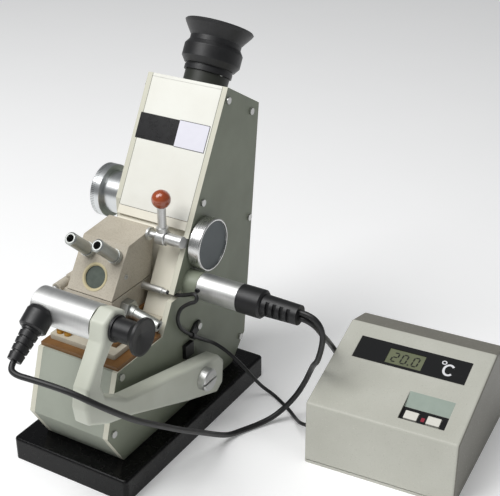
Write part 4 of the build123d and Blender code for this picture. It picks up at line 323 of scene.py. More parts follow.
def satin_metal(name, light, dark, axis="x", gloss=0.36, edge=0.3):
    """Bead-blasted and turned metal, with marks round the turning axis."""
    paint = Paint(name, metallic=1.0)
    lines = lathe_lines(paint, axis, 0.35)
    cloud = paint.noise(size=14, detail=4)
    shade = paint.mix(lines * 0.6 + cloud * 0.4, dark, light)
    paint.put("Base Color", paint.mix(paint.edge_wear_and_highlight(radius=0.3) * 0.5, shade, tone(248, 248, 248)))
    paint.put("Roughness", gloss + lines * 0.12 + paint.noise(size=5, detail=2) * 0.06)
    return paint.relief(lines, depth=0.008, edge=edge)


def bright_chrome(name):
    paint = Paint(name, metallic=1.0)
    haze = paint.noise(size=7, detail=5)
    paint.put("Base Color", paint.mix(haze, tone(222, 223, 226), tone(244, 244, 246)))
    paint.put("Roughness", 0.16 + paint.band(haze, low=0.45, high=0.8) * 0.12)
    return paint.relief(paint.noise(size=3, detail=3), depth=0.01, edge=0.25)


def machined_brass(name):
    paint = Paint(name, metallic=1.0)
    tarnish = paint.noise(size=5, detail=5)
    paint.put("Base Color", paint.mix(tarnish, tone(213, 172, 92), tone(168, 124, 58)))
    paint.put("Roughness", 0.22 + tarnish * 0.2)
    return paint.relief(paint.noise(size=0.4, detail=2), depth=0.01, edge=0.2)


def prism_box_enamel(name):
    """Warm grey crackle on the prism boxes, browner in its hollows."""
    paint = Paint(name)
    mottle = paint.band(paint.noise(size=26, detail=5), low=0.3, high=0.7)
    crackle = paint.cells(size=0.9)
    shade = paint.mix(mottle, tone(192, 185, 170), tone(174, 166, 150))
    shade = paint.mix(paint.band(crackle, low=0.45, high=0.8) * 0.3, shade, tone(140, 128, 110))
    paint.put("Base Color", paint.mix(paint.edge_wear_and_highlight(radius=0.5) * 0.5, shade, tone(228, 222, 206)))
    paint.put("Roughness", 0.42 + crackle * 0.15)
    return paint.relief(1 - crackle, depth=0.03, edge=0.5)


def prism_bed_finish(name, plate_top):
    """Warm grey plate whose screw heads, above its top, are brass."""
    paint = Paint(name)
    head = paint.coordinate(2) > mm(plate_top + HEAD_START)
    mottle = paint.noise(size=12, detail=5)
    turning = paint.noise(size=0.5, detail=2)
    grey = paint.mix(mottle, tone(196, 190, 174), tone(170, 163, 146))
    brass = paint.mix(turning, tone(206, 160, 78), tone(160, 112, 48))
    paint.put("Base Color", paint.mix(head, grey, brass))
    paint.put("Metallic", head)
    paint.put("Roughness", 0.4 + turning * 0.15)
    return paint.relief(turning, depth=0.012, edge=0.3)


def graduated_rim(name, centre, rim_radius, marks_end, marks):
    """Turned dial with fine dark graduations round its rim, on an axis along x."""
    paint = Paint(name, metallic=1.0)
    across = paint.coordinate(1) - mm(centre[0])
    upward = paint.coordinate(2) - mm(centre[1])
    radius = (across * across + upward * upward) ** 0.5
    turn = upward.turn_from(across) * (marks / (2 * pi))
    line = (turn.fraction() > MARK_START) * (radius > mm(rim_radius - RIM_BAND))
    edge_side = paint.band(paint.coordinate(0), mm(marks_end), mm(marks_end + RIM_BLUR))
    lines = lathe_lines(paint, "x", 0.35)
    metal = paint.mix(lines, tone(190, 193, 194), tone(224, 226, 226))
    paint.put("Base Color", paint.mix(line * (1 - edge_side), metal, tone(40, 42, 44)))
    paint.put("Roughness", 0.24 + lines * 0.12)
    return paint.relief(lines, depth=0.008, edge=0.3)


def brown_laminate(name):
    """Paper laminate: brown resin with darker layers that show along the cut edges."""
    paint = Paint(name, specular_ior_level=0.45)
    layers = paint.noise(size=0.6, detail=2, scales=(0.05, 0.05, 1))
    fibre = paint.noise(size=2.2, detail=5)
    shade = paint.mix(layers, tone(122, 84, 40), tone(82, 52, 24))
    paint.put("Base Color", paint.mix(fibre * 0.35, shade, tone(150, 110, 62)))
    paint.put("Roughness", 0.38 + fibre * 0.15)
    return paint.relief(layers, depth=0.05, edge=0.3)


def optical_glass(name, tint):
    paint = Paint(name, transmission_weight=0.85, ior=1.6)
    film = paint.noise(size=9, detail=4)
    paint.put("Base Color", paint.mix(film, tint, tone(236, 240, 238)))
    paint.put("Roughness", 0.02 + paint.band(film, low=0.55, high=0.8) * 0.05)
    return paint


def dark_window_glass(name):
    """The prism window: matt ground glass over the dark inside of the box."""
    paint = Paint(name, coat_roughness=0.05)
    cloud = paint.noise(size=4, detail=4)
    paint.put("Base Color", paint.mix(cloud, tone(58, 66, 60), tone(92, 102, 92)))
    paint.put("Roughness", 0.3 + cloud * 0.2)
    paint.put("Coat Weight", 0.8)
    return paint.relief(paint.noise(size=0.5, detail=2), depth=0.01, edge=0.3)


def speckled_case(name):
    """Pale grey panel and front, finely specked, with painted shade: the sides and rear darker
    brown-grey by the way they face.
    """
    paint = Paint(name)
    # Painted shade: faces turned sideways or towards the rear get a darker brown-grey.
    sideways = paint.facing(0)
    sideways_painted_shade = paint.band(sideways * sideways, low=0.4, high=0.6)
    rearward_painted_shade = paint.band(paint.facing(1), low=0.1, high=0.22)
    painted_side_shade_tone = paint.mix(paint.noise(size=30, detail=4), tone(124, 121, 111), tone(110, 108, 98))
    dark_speck = paint.band(paint.noise(size=0.9, detail=3), low=0.6, high=0.72)
    pale_speck = paint.band(paint.noise(size=1.3, detail=3), low=0.62, high=0.74)
    cloud = paint.band(paint.noise(size=46, detail=4), low=0.3, high=0.7)
    shade = paint.mix(cloud, tone(196, 196, 186), tone(185, 185, 174))
    shade = paint.mix(sideways_painted_shade.greater(rearward_painted_shade), shade, painted_side_shade_tone)
    shade = paint.mix(dark_speck * 0.28, shade, tone(128, 126, 112))
    shade = paint.mix(pale_speck * 0.3, shade, tone(222, 220, 208))
    # Painted highlight: the case's edges lightened towards near white.
    paint.put("Base Color", paint.mix(paint.edge_wear_and_highlight(radius=1.2) * 0.3, shade, tone(236, 235, 228)))
    paint.put("Roughness", 0.46 + dark_speck * 0.1)
    return paint.relief(paint.cells(size=0.8), depth=0.03, edge=1.0)


def smoked_acrylic(name):
    """The display window: glossy black sheet with a few fine hairlines."""
    paint = Paint(name, coat_roughness=0.03)
    hair = paint.band(paint.noise(size=2.5, detail=2, scales=(0.15, 1, 1)), low=0.66, high=0.74)
    paint.put("Base Color", paint.mix(hair * 0.08, tone(9, 9, 10), tone(74, 74, 78)))
    paint.put("Roughness", 0.1 + hair * 0.15)
    paint.put("Coat Weight", 1.0)
    return paint


def liquid_crystal(name):
    paint = Paint(name)
    cloud = paint.noise(size=11, detail=3)
    paint.put("Base Color", paint.mix(cloud, tone(120, 124, 98), tone(101, 106, 84)))
    paint.put("Roughness", 0.16 + cloud * 0.06)
    return paint


def circuit_green(name):
    paint = Paint(name)
    tracks = paint.band(paint.noise(size=3.5, detail=1, scales=(1, 0.2, 1)), low=0.52, high=0.55)
    paint.put("Base Color", paint.mix(tracks, tone(22, 74, 44), tone(58, 118, 70)))
    paint.put("Roughness", 0.3 + tracks * 0.15)
    return paint.relief(tracks, depth=0.04)


def button_plastic(name):
    paint = Paint(name)
    rub = paint.noise(size=2.2, detail=4)
    paint.put("Base Color", paint.mix(rub, tone(232, 230, 222), tone(214, 212, 202)))
    paint.put("Roughness", 0.4 + rub * 0.12)
    return paint.relief(paint.cells(size=0.3), depth=0.01, edge=0.5)


def amber_ball(name):
    """Burnt-orange phenolic ball with a faint swirl under its polish."""
    paint = Paint(name, coat_roughness=0.04)
    swirl = paint.noise(size=5.5, detail=5, scales=(1, 1, 0.4))
    paint.put("Base Color", paint.mix(swirl, tone(176, 82, 38), tone(120, 46, 18)))
    paint.put("Roughness", 0.2 + swirl * 0.08)
    paint.put("Coat Weight", 0.9)
    return paint


def cord_sheath(name):
    paint = Paint(name)
    scuff = paint.noise(size=4, detail=5)
    paint.put("Base Color", paint.mix(scuff, tone(13, 13, 14), tone(31, 31, 32)))
    paint.put("Roughness", 0.36 + scuff * 0.18)
    return paint.relief(paint.noise(size=0.8, detail=2), depth=0.02)


def knob_finish(name, centre, face_x, face_radius, face_light, face_dark):
    """Bright turned rim with a painted face inside it, on an axis along x."""
    paint = Paint(name)
    across = paint.coordinate(1) - mm(centre[0])
    upward = paint.coordinate(2) - mm(centre[1])
    radius = (across * across + upward * upward) ** 0.5
    face = (radius < mm(face_radius)) * (paint.coordinate(0) > mm(face_x))
    lines = lathe_lines(paint, "x", 0.3)
    rings = paint.noise(size=0.8, detail=2)
    metal = paint.mix(lines, tone(196, 196, 196), tone(242, 242, 240))
    dish = paint.mix(rings, face_dark, face_light)
    paint.put("Base Color", paint.mix(face, metal, dish))
    paint.put("Metallic", 1 - face * 0.85)
    paint.put("Roughness", 0.2 + face * 0.22 + lines * 0.12)
    return paint.relief(lines, depth=0.012, edge=0.35)


# Places on the frame that a finish has to know: x, heights and radii, centres as y and z.
BED_TOP = 103.0
KNOB_CENTRE = (33, 151.5)
KNOB_FACE_X = 45.0
KNOB_FACE_R = 19.0
DIAL_CENTRE = (48.77, 166.29)
DIAL_R = 21.5
DIAL_MARKS_END_X = -61.0
DIAL_MARKS = 90

IVORY = baked_enamel("ivory_enamel", tone(231, 231, 223), tone(224, 223, 214), 0.34)
# Olive tones: partly the enamel's own colour, partly painted shade, darker than the cream body.
OLIVE_WITH_PAINTED_SHADE = (tone(133, 139, 122), tone(122, 128, 112))
EDGE_CREAM = tone(206, 205, 190)
OLIVE_AND_SHADE_ENAMEL = baked_enamel("olive_enamel_with_painted_shade", *OLIVE_WITH_PAINTED_SHADE, 0.4, 0.016, 0.8, EDGE_CREAM)
PLATE_CREAM_AND_SHADE = side_plate_enamel("side_plate_enamel", *OLIVE_WITH_PAINTED_SHADE, EDGE_CREAM)
# Apron grey: partly the cover's own grey, partly painted shade, darker than the cream above it.
APRON_GREY_WITH_PAINTED_SHADE = baked_enamel("apron_enamel", tone(158, 163, 151), tone(146, 151, 139), 0.36)
ARM_CREAM = baked_enamel("arm_enamel", tone(201, 204, 191), tone(191, 194, 180), 0.36, 0.014, 1.0)
COLLAR_DARK = baked_enamel("collar_enamel", tone(44, 46, 40), tone(34, 36, 31), 0.4)
FRAME_CREAM = baked_enamel(
    "frame_enamel", tone(238, 234, 220), tone(226, 221, 204), 0.42, 0.014, 0.5, tone(232, 226, 208)
)
BLACK_ENAMEL = gloss_black_enamel("base_enamel")
RUBBER = rubber("foot_rubber")
BLACK_MOULD = moulded_black("black_moulding")
EYE_BLACK = moulded_black("eyepiece_black", (36, 36, 38), 0.34)
SATIN_X = satin_metal("satin_aluminium_x", tone(232, 232, 230), tone(196, 197, 196))
SATIN_Z = satin_metal("satin_aluminium_z", tone(228, 228, 226), tone(192, 193, 192), "z")
STEEL = satin_metal("ground_steel", tone(214, 214, 212), tone(176, 176, 174), "x", 0.22)
CHROME = bright_chrome("bright_chrome")
NICKEL = satin_metal("nozzle_nickel", tone(198, 200, 197), tone(142, 145, 142), "x", 0.34)
BRASS = machined_brass("machined_brass")
PRISM_GREY = prism_box_enamel("prism_box_enamel")
LAMINATE = brown_laminate("brown_laminate")
GLASS = optical_glass("optical_glass", tone(214, 226, 220))
WINDOW = dark_window_glass("window_glass")
CASE = speckled_case("case_paint")
ACRYLIC = smoked_acrylic("smoked_acrylic")
LCD = liquid_crystal("liquid_crystal")
CIRCUIT = circuit_green("circuit_board")
BUTTON = button_plastic("button_plastic")
BALL = amber_ball("amber_ball")
SHEATH = cord_sheath("cord_sheath")
KNOB = knob_finish(
    "knob_finish", KNOB_CENTRE, KNOB_FACE_X, KNOB_FACE_R, tone(108, 115, 118), tone(84, 92, 95)
)
DIAL = graduated_rim("dial_aluminium", DIAL_CENTRE, DIAL_R, DIAL_MARKS_END_X, DIAL_MARKS)
BED = prism_bed_finish("prism_bed_enamel", BED_TOP)

SLOT_FINISH = {
    "base_black": BLACK_ENAMEL,
    "rubber_black": RUBBER,
    "side_olive": OLIVE_AND_SHADE_ENAMEL,
    "cream": IVORY,
    "prism_grey": PRISM_GREY,
    "frame_cream": FRAME_CREAM,
    "insulator": LAMINATE,
    "satin_aluminium": SATIN_X,
    "chrome": CHROME,
    "steel": STEEL,
    "brass": BRASS,
    "black_plastic": BLACK_MOULD,
    "ball_orange": BALL,
    "glass": GLASS,
    "window_dark": WINDOW,
    "box_grey": CASE,
    "display_black": ACRYLIC,
    "lcd": LCD,
    "board_green": CIRCUIT,
    "button_grey": BUTTON,
    "cord_black": SHEATH,
}
NODE_FINISH = {
    "side_plate_right": PLATE_CREAM_AND_SHADE,
    "side_plate_left": PLATE_CREAM_AND_SHADE,
    "lower_front_cover": APRON_GREY_WITH_PAINTED_SHADE,
    "measuring_knob": KNOB,
    "dispersion_dial": DIAL,
    "prism_bed": BED,
    "upper_nozzles": NICKEL,
    "lower_nozzles": NICKEL,
    "lamp_arm": ARM_CREAM,
    "eyepiece_collar": COLLAR_DARK,
    "eyepiece_barrel": EYE_BLACK,
    "eyecup": EYE_BLACK,
    "lock_lever": SATIN_Z,
}
for part in frame["record"]["subparts"]:
    node = frame["nodes"][part["node"]]
    finish = NODE_FINISH.get(part["node"], SLOT_FINISH[part["material_slot"]])
    node.data.materials.clear()
    node.data.materials.append(finish.material)


# ---------------------------------------------------------------- making pieces
SHARP_TURN = radians(32)  # edges that turn more than this stay sharp


def add_piece(name, mesh, body, finish, bevel=None):
    """A mesh becomes a piece that rides on a body and wears a finish."""
    piece = bpy.data.objects.new(name, mesh)
    bpy.context.scene.collection.objects.link(piece)
    mesh.materials.append(finish.material)
    if bevel:
        soften = piece.modifiers.new("eased_edges", "BEVEL")
        soften.width = mm(bevel)
        soften.segments = 2
        soften.limit_method = "ANGLE"
        soften.harden_normals = True
    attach(piece, body)
    return piece


def mesh_of(name, work):
    """The finished mesh of a bmesh, with smooth faces and sharp edges kept."""
    bmesh.ops.recalc_face_normals(work, faces=work.faces)
    for face in work.faces:
        face.smooth = True
    for edge in work.edges:
        if len(edge.link_faces) == 2 and edge.calc_face_angle() > SHARP_TURN:
            edge.smooth = False
    mesh = bpy.data.meshes.new(name)
    work.to_mesh(mesh)
    work.free()
    return mesh


class Bench:
    """A flat working place on the object: across, along and out of a surface."""

    def __init__(self, origin, across, along):
        self.origin = Vector(origin)
        self.across = Vector(across).normalized()
        self.along = Vector(along).normalized()
        self.out = self.across.cross(self.along)

    def spot(self, u, v, w=0.0):
        return (self.origin + self.across * u + self.along * v + self.out * w) / PER_METRE


def slab(work, bench, outline, low, high):
    """A flat shape with an outline on a bench, from one height to another."""
    under = [work.verts.new(bench.spot(u, v, low)) for u, v in outline]
    over = [work.verts.new(bench.spot(u, v, high)) for u, v in outline]
    work.faces.new(under[::-1])
    work.faces.new(over)
    for i in range(len(outline)):
        j = (i + 1) % len(outline)
        work.faces.new((under[i], under[j], over[j], over[i]))


def rounded_box(left, right, low, high, corner, steps=4):
    """Outline of a rectangle with round corners."""
    outline = []
    middles = [
        (right - corner, high - corner, 0),
        (left + corner, high - corner, 90),
        (left + corner, low + corner, 180),
        (right - corner, low + corner, 270),
    ]
    for u, v, start in middles:
        for step in range(steps + 1):
            turn = radians(start + 90 * step / steps)
            outline.append((u + corner * cos(turn), v + corner * sin(turn)))
    return outline


def plate(name, bench, outline, low, high, body, finish, slot, bevel=None):
    work = bmesh.new()
    slab(work, bench, outline, low, high)
    return add_piece(name, mesh_of(name, work), body, finish, bevel)


def turned(work, bench, profile, steps, closed=False):
    """Turn a (radius, height) profile about the line out of a bench's origin."""
    turns = [2 * pi * step / steps for step in range(steps)]
    rings = []
    for radius, height in profile:
        places = [bench.spot(radius * cos(a), radius * sin(a), height) for a in turns]
        rings.append([work.verts.new(place) for place in places])
    for lower, upper in zip(rings, rings[1:] + rings[:1] * closed):
        for i in range(steps):
            j = (i + 1) % steps
            work.faces.new((lower[i], lower[j], upper[j], upper[i]))
    if not closed:
        work.faces.new(rings[0][::-1])
        work.faces.new(rings[-1])


# ---------------------------------------------------------------- cords
LEAD_D = 4.4
PROBE_LEAD_D = 3.0
LAMP_LEAD_ROUTE = [
    (0, -140.49, 130.04),
    (0, -145.2, 126.7),
    (7, -147.5, 125.2),
    (18, -145.6, 124.6),
    (32, -143, 123.2),
    (47, -139.7, 120.6),
    (60.5, -133, 112.5),
    (67.5, -120.5, 100),
    (71, -103.5, 84.3),
    (73, -80, 66),
    (74.5, -55, 46.5),
    (75, -32, 30),
    (75, -12, 15),
    (76.5, 4, 4.5),
    (80.5, 17, 2.3),
    (87.5, 30, 2.3),
    (95, 42, 5),
    (102.5, 50, 13.5),
    (110.5, 53.5, 26),
    (118, 53, 42),
    (126, 47, 60),
    (135, 33, 74),
    (142.5, 23.5, 84.5),
    (147, 20, 98),
    (149.5, 18, 111),
    (147, 16.8, 121),
    (139.5, 16, 127),
    (131, 16, 127),
]
SUPPLY_LEAD_ROUTE = [
    (131, 16, 122),
    (137, 16, 122),
    (141, 22.5, 114.5),
    (139.7, 34, 102),
    (137.3, 45, 91.8),
    (133.5, 58, 80.5),
    (129.8, 70, 70),
    (128.2, 80, 59.5),
    (127.35, 88.85, 48.44),
    (126.99, 93.79, 43.49),
]
PROBE_LEAD_ROUTE = [
    (27, -1, 121.4),
    (36, -1, 121.4),
    (45, -1, 124.5),
    (53, -1.5, 128.5),
    (56, -3.8, 123.6),
    (49, -5.5, 120.5),
    (42.2, -6.8, 114.6),
    (39.3, -6.8, 106),
    (38.8, -4.5, 97.5),
    (38.7, 2, 89.3),
    (38.8, 10, 82),
    (38.8, 18.5, 75),
    (38.8, 30.5, 66),
    (41, 41.5, 57.8),
    (50, 47, 49),
    (59, 54, 35.5),
    (66, 63, 18),
    (70, 71, 6.5),
    (77, 73.5, 1.6),
    (88, 67.5, 1.55),
    (99, 61.2, 1.55),
    (109, 52.5, 3.2),
    (117, 43.5, 8),
    (122.5, 37.6, 12),
    (127.522, 35.162, 14),
    (133.205, 35.573, 14),
]
BEND_START = (20, -138, 120)  # the lamp lead bends between these two places
BEND_END = (75, -20, 22)


def lead_curve(name, route, diameter):
    """A cord on one smooth line that follows its route."""
    curve = bpy.data.curves.new(name, "CURVE")
    curve.dimensions = "3D"
    spline = curve.splines.new("NURBS")
    spline.points.add(len(route) - 1)
    for point, place in zip(spline.points, route):
        point.co = (*mm(*place), 1)
    spline.order_u = 3
    spline.use_endpoint_u = True
    curve.resolution_u = 16
    curve.bevel_depth = mm(diameter) / 2
    curve.bevel_resolution = 6
    curve.use_fill_caps = True
    return curve


def line_length(points):
    return sum((b - a).length for a, b in zip(points, points[1:]))


def line_points(curve):
    """The points of a curve's own line, read from it with its thickness left off."""
    bare = curve.copy()
    bare.bevel_depth = 0
    holder = bpy.data.objects.new("line_reader", bare)
    line = bpy.data.meshes.new_from_object(holder)
    points = [vertex.co.copy() for vertex in line.vertices]
    bpy.data.objects.remove(holder)
    bpy.data.meshes.remove(line)
    bpy.data.curves.remove(bare)
    return points


def add_lead(name, route, diameter):
    curve = lead_curve(name, route, diameter)
    lead = bpy.data.objects.new(name, curve)
    bpy.context.scene.collection.objects.link(lead)
    curve.materials.append(SHEATH.material)
    return lead


def add_supply_and_probe_leads():
    for node, route, diameter in (
        ("supply_lead", SUPPLY_LEAD_ROUTE, LEAD_D),
        ("probe_lead", PROBE_LEAD_ROUTE, PROBE_LEAD_D),
    ):
        lead = add_lead(node + "_cord", route, diameter)
        length = line_length(line_points(lead.data))
        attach(lead, "instrument")
        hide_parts(node)
        mm(*route[0])
        mm(diameter)


def add_lamp_lead():
    """The lamp lead, whose front end swings with the arm, as a mesh made from its curve."""
    curve = lead_curve("lamp_lead_line", LAMP_LEAD_ROUTE, LEAD_D)
    points = line_points(curve)
    holder = bpy.data.objects.new("lamp_lead_line", curve)
    mesh = bpy.data.meshes.new_from_object(holder)
    bpy.data.objects.remove(holder)
    mesh.materials.clear()
    mesh.materials.append(SHEATH.material)
    lead = bpy.data.objects.new("lamp_lead_cord", mesh)
    bpy.context.scene.collection.objects.link(lead)
    mm(*BEND_START)
    mm(*BEND_END)
    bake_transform(lead)
    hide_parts("lamp_lead")
    exit_place = mm(*LAMP_LEAD_ROUTE[0])
    mm(LEAD_D)


add_supply_and_probe_leads()
add_lamp_lead()


# ---------------------------------------------------------------- tower front
TOWER_LEAN = radians(30)
TOWER_UP = (0, sin(TOWER_LEAN), cos(TOWER_LEAN))
TOWER_FRONT = Bench((0, 74, 262), (1, 0, 0), TOWER_UP)
BLACK_PLATE = (-33.0, 3.0, -51.4, -31.4)  # left, right, low and high on the tower's front
WHITE_PLATE = (3.0, 29.6, -51.4, -31.4)
LABEL_CORNER = 0.5
LABEL_T = 0.3
LABEL_BEVEL = 0.08
LABEL_RIM_W = 0.5
LABEL_RIM_T = 0.15


def bare_label(name, light, dark, gloss):
    """Printed or painted sheet, flat in tone, with a slight haze."""
    paint = Paint(name)
    haze = paint.noise(size=5, detail=4)
    paint.put("Base Color", paint.mix(haze, light, dark))
    paint.put("Roughness", gloss + haze * 0.12)
    return paint.relief(paint.noise(size=1.4, detail=2), depth=0.008)


BLACK_LABEL = bare_label("black_label", tone(12, 12, 13), tone(24, 24, 26), 0.22)
WHITE_LABEL = bare_label("white_label", tone(226, 225, 234), tone(218, 217, 227), 0.3)
LABEL_RIM = bare_label("label_rim", tone(92, 92, 96), tone(74, 74, 78), 0.35)


def add_tower_labels():
    left, right, low, high = WHITE_PLATE
    limits = (left, right + LABEL_RIM_W, low - LABEL_RIM_W, high + LABEL_RIM_W)
    rim = rounded_box(*limits, LABEL_CORNER, 3)
    plate("label_rim", TOWER_FRONT, rim, 0, LABEL_RIM_T, "instrument", LABEL_RIM, "display_black")
    for name, limits, finish in (
        ("black_label_plate", BLACK_PLATE, BLACK_LABEL),
        ("white_label_plate", WHITE_PLATE, WHITE_LABEL),
    ):
        outline = rounded_box(*limits, LABEL_CORNER, 3)
        look = (finish, "display_black", LABEL_BEVEL)
        plate(name, TOWER_FRONT, outline, 0, LABEL_T, "instrument", *look)


add_tower_labels()


# ---------------------------------------------------------------- thermometer box
CASE_TURN = radians(4.14)
CASE_FRONT_H = 54.5
CASE_REAR_H = 78.7
PANEL_RUN = 88.6
PANEL_RISE = atan2(CASE_REAR_H - CASE_FRONT_H, PANEL_RUN)
CASE_ACROSS = Vector((cos(CASE_TURN), sin(CASE_TURN), 0))
CASE_BACK = Vector((-sin(CASE_TURN), cos(CASE_TURN), 0))
PANEL_UP = CASE_BACK * cos(PANEL_RISE) + Vector((0, 0, 1)) * sin(PANEL_RISE)
PANEL = Bench((140, 11, CASE_FRONT_H), CASE_ACROSS, PANEL_UP)
WHITE_INK = bare_label("white_ink", tone(236, 236, 238), tone(222, 222, 226), 0.4)
LCD_INK = bare_label("lcd_segment", tone(24, 26, 22), tone(36, 38, 32), 0.3)
RED_INK = bare_label("red_ink", tone(158, 40, 62), tone(130, 28, 48), 0.4)
RAMP_GREEN = bare_label("ramp_grey_green", tone(150, 163, 152), tone(138, 152, 141), 0.4)

DIGIT_BARS = {"2": "abged", "0": "abcdef"}
READING = (("2", 43.2), ("0", 50.6), ("0", 59.6))  # each figure and its left edge
FIGURE_W = 5.2
FIGURE_H = 10.0
FIGURE_PEN = 1.15
FIGURE_FOOT = 59.8
FIGURE_LEAN = 0.1
BAR_END = 0.6  # a bar starts this many pens in, where its neighbour ends
BAR_GAP = 0.15  # and leaves this many pens free
POINT = (57.0, 58.3)
POINT_CORNER = 0.2
LCD_LAYER = (-0.3, -0.22)
INK_LAYER = (0.3, 0.36)


def segment_outline(kind, left, low, width, height, pen):
    """One bar of a seven-bar figure, as an outline in the panel's own directions."""
    right = left + width
    high = low + height
    middle = low + height / 2
    start = pen * BAR_END
    gap = pen * BAR_GAP
    half = pen / 2
    flat = {"a": high - half, "g": middle, "d": low + half}
    if kind in flat:
        v = flat[kind]
        near, far = left + start + gap, right - start - gap
        return [
            (near, v),
            (near + half, v - half),
            (far - half, v - half),
            (far, v),
            (far - half, v + half),
            (near + half, v + half),
        ]
    u = left + half if kind in "ef" else right - half
    near, far = (middle, high - start) if kind in "bf" else (low + start, middle)
    near, far = near + gap, far - gap
    return [
        (u, near),
        (u + half, near + half),
        (u + half, far - half),
        (u, far),
        (u - half, far - half),
        (u - half, near + half),
    ]


def leaned(outline, low):
    return [(u + (v - low) * FIGURE_LEAN, v) for u, v in outline]


def add_figures():
    """The reading on the display: 20.0."""
    work = bmesh.new()
    for figure, left in READING:
        for kind in DIGIT_BARS[figure]:
            bar = segment_outline(kind, left, FIGURE_FOOT, FIGURE_W, FIGURE_H, FIGURE_PEN)
            slab(work, PANEL, leaned(bar, FIGURE_FOOT), *LCD_LAYER)
    top = FIGURE_FOOT + POINT[1] - POINT[0]
    slab(work, PANEL, rounded_box(*POINT, FIGURE_FOOT, top, POINT_CORNER, 1), *LCD_LAYER)
    add_piece("lcd_figures", mesh_of("lcd_figures", work), "instrument", LCD_INK)


def arc_outline(centre, reach, pen, start, end, steps=28):
    """A stroke round part of an ellipse: middle, half sizes, width, and its two angles."""
    turns = [radians(start + (end - start) * step / steps) for step in range(steps + 1)]
    u, v = centre
    wide, tall = reach
    outer = [(u + wide * cos(a), v + tall * sin(a)) for a in turns]
    inner = [(u + (wide - pen) * cos(a), v + (tall - pen) * sin(a)) for a in turns]
    return outer + inner[::-1]


DEGREE_RING = ((83.4, 71.4), (2.0, 2.0), 0.85)  # centre, half sizes and pen
LETTER_C = ((88.6, 65.1), (4.7, 6.0), 1.75)
LETTER_C_ENDS = (42, 318)


def add_degree_sign():
    """White degree sign and C on the display window."""
    work = bmesh.new()
    for start in (0, 180):
        slab(work, PANEL, arc_outline(*DEGREE_RING, start, start + 180), *INK_LAYER)
    slab(work, PANEL, arc_outline(*LETTER_C, *LETTER_C_ENDS), *INK_LAYER)
    add_piece("degree_sign", mesh_of("degree_sign", work), "instrument", WHITE_INK)


RECESS_LIMITS = (68.6, 103.6, 9.8, 37.2)  # left, right, low and high, up the panel
RECESS_STEP = 23.3
RECESS_DEPTH = 2.6
BUTTON_HOLES = ((71.2, 82.0), (88.2, 99.0))
HOLE_RISE = (11.8, 20.2)
BUTTON_PLATE_T = 0.15
SQUARE_CORNER = 0.01
RAMP_T = 0.12
RAMP_CORNER = 0.3
RAMP_MARGIN = 0.2
RED_MARK = (84.2, 86.8, 13.8, 17.4)
RED_MARK_CORNER = 0.2
RED_MARK_T = 0.1


def add_button_plate(floor, top):
    """Black plate round the buttons, in strips that leave their holes free."""
    left, right, low = RECESS_LIMITS[:3]
    edges = [left] + [u for hole in BUTTON_HOLES for u in hole] + [right]
    pieces = [(*pair, low, RECESS_STEP) for pair in zip(edges[::2], edges[1::2])]
    for hole in BUTTON_HOLES:
        pieces += [(*hole, low, HOLE_RISE[0]), (*hole, HOLE_RISE[1], RECESS_STEP)]
    work = bmesh.new()
    for limits in pieces:
        slab(work, PANEL, rounded_box(*limits, SQUARE_CORNER, 1), floor, top)
    mesh = mesh_of("button_plate", work)
    add_piece("button_plate", mesh, "instrument", BLACK_LABEL)


def add_recess_plates():
    """The button plate, a grey-green plate on the slope above it and a red mark."""
    left, right = RECESS_LIMITS[:2]
    high = RECESS_LIMITS[3]
    floor = -RECESS_DEPTH
    top = floor + BUTTON_PLATE_T
    add_button_plate(floor, top)
    foot = PANEL.spot(left, RECESS_STEP, floor) * PER_METRE
    slope = PANEL.spot(left, high, 0) * PER_METRE - foot
    ramp = Bench(foot, CASE_ACROSS, slope)
    sides = (RAMP_MARGIN, right - left - RAMP_MARGIN)
    ends = (RAMP_MARGIN, slope.length - 2 * RAMP_MARGIN)
    outline = rounded_box(*sides, *ends, RAMP_CORNER, 2)
    plate("recess_ramp", ramp, outline, 0, RAMP_T, "instrument", RAMP_GREEN, "button_grey")
    mark = rounded_box(*RED_MARK, RED_MARK_CORNER, 2)
    high_face = top + RED_MARK_T
    plate("red_mark", PANEL, mark, top, high_face, "instrument", RED_INK, "ball_orange")


add_figures()
add_degree_sign()
add_recess_plates()


# ---------------------------------------------------------------- small fittings
SCREW_STEPS = 24
SCREW_FOOT = -0.4
SCREW_EASE = 0.2
SCREW_HOLLOW = 0.5
RING_STEPS = 56
EYEPIECE_FOOT = Vector((0, 96.52, 249.0))
EYEPIECE_SCREW = Vector((16.6, 95.6, 262.0))
LAMP_SCREW = (50, 5.5, 126.5)
LAMP_SCREW_OUT = (0, -10.7, 2.0)
LID_SCREW = (4.6, -21.3, 138.0)
LID_FOOT = (-40, 125.95)  # y and z where the sloping front of the lid starts
LID_SLOPE = (24, 35.05)  # its run and its rise
WINDOW_X = -16
WINDOW_Z = 137.5
WINDOW_RING = [(10.9, -0.2), (10.9, 0.25), (10.5, 0.5), (9.3, 0.4), (8.6, -0.6)]
WINDOW_GOLD = bare_label("window_rim", tone(206, 196, 160), tone(184, 172, 134), 0.35)


def socket_screw(name, place, out, radius, height, body, finish, slot):
    """A small round screw with a hollow in its end."""
    out = Vector(out).normalized()
    across = out.orthogonal().normalized()
    bench = Bench(place, across, out.cross(across))
    work = bmesh.new()
    ease = radius * SCREW_EASE
    hollow = radius * SCREW_HOLLOW
    profile = [
        (radius, SCREW_FOOT),
        (radius, height - ease),
        (radius - ease, height),
        (hollow, height),
        (hollow, (height - 1) * SCREW_EASE),
    ]
    turned(work, bench, profile, SCREW_STEPS)
    add_piece(name, mesh_of(name, work), body, finish)


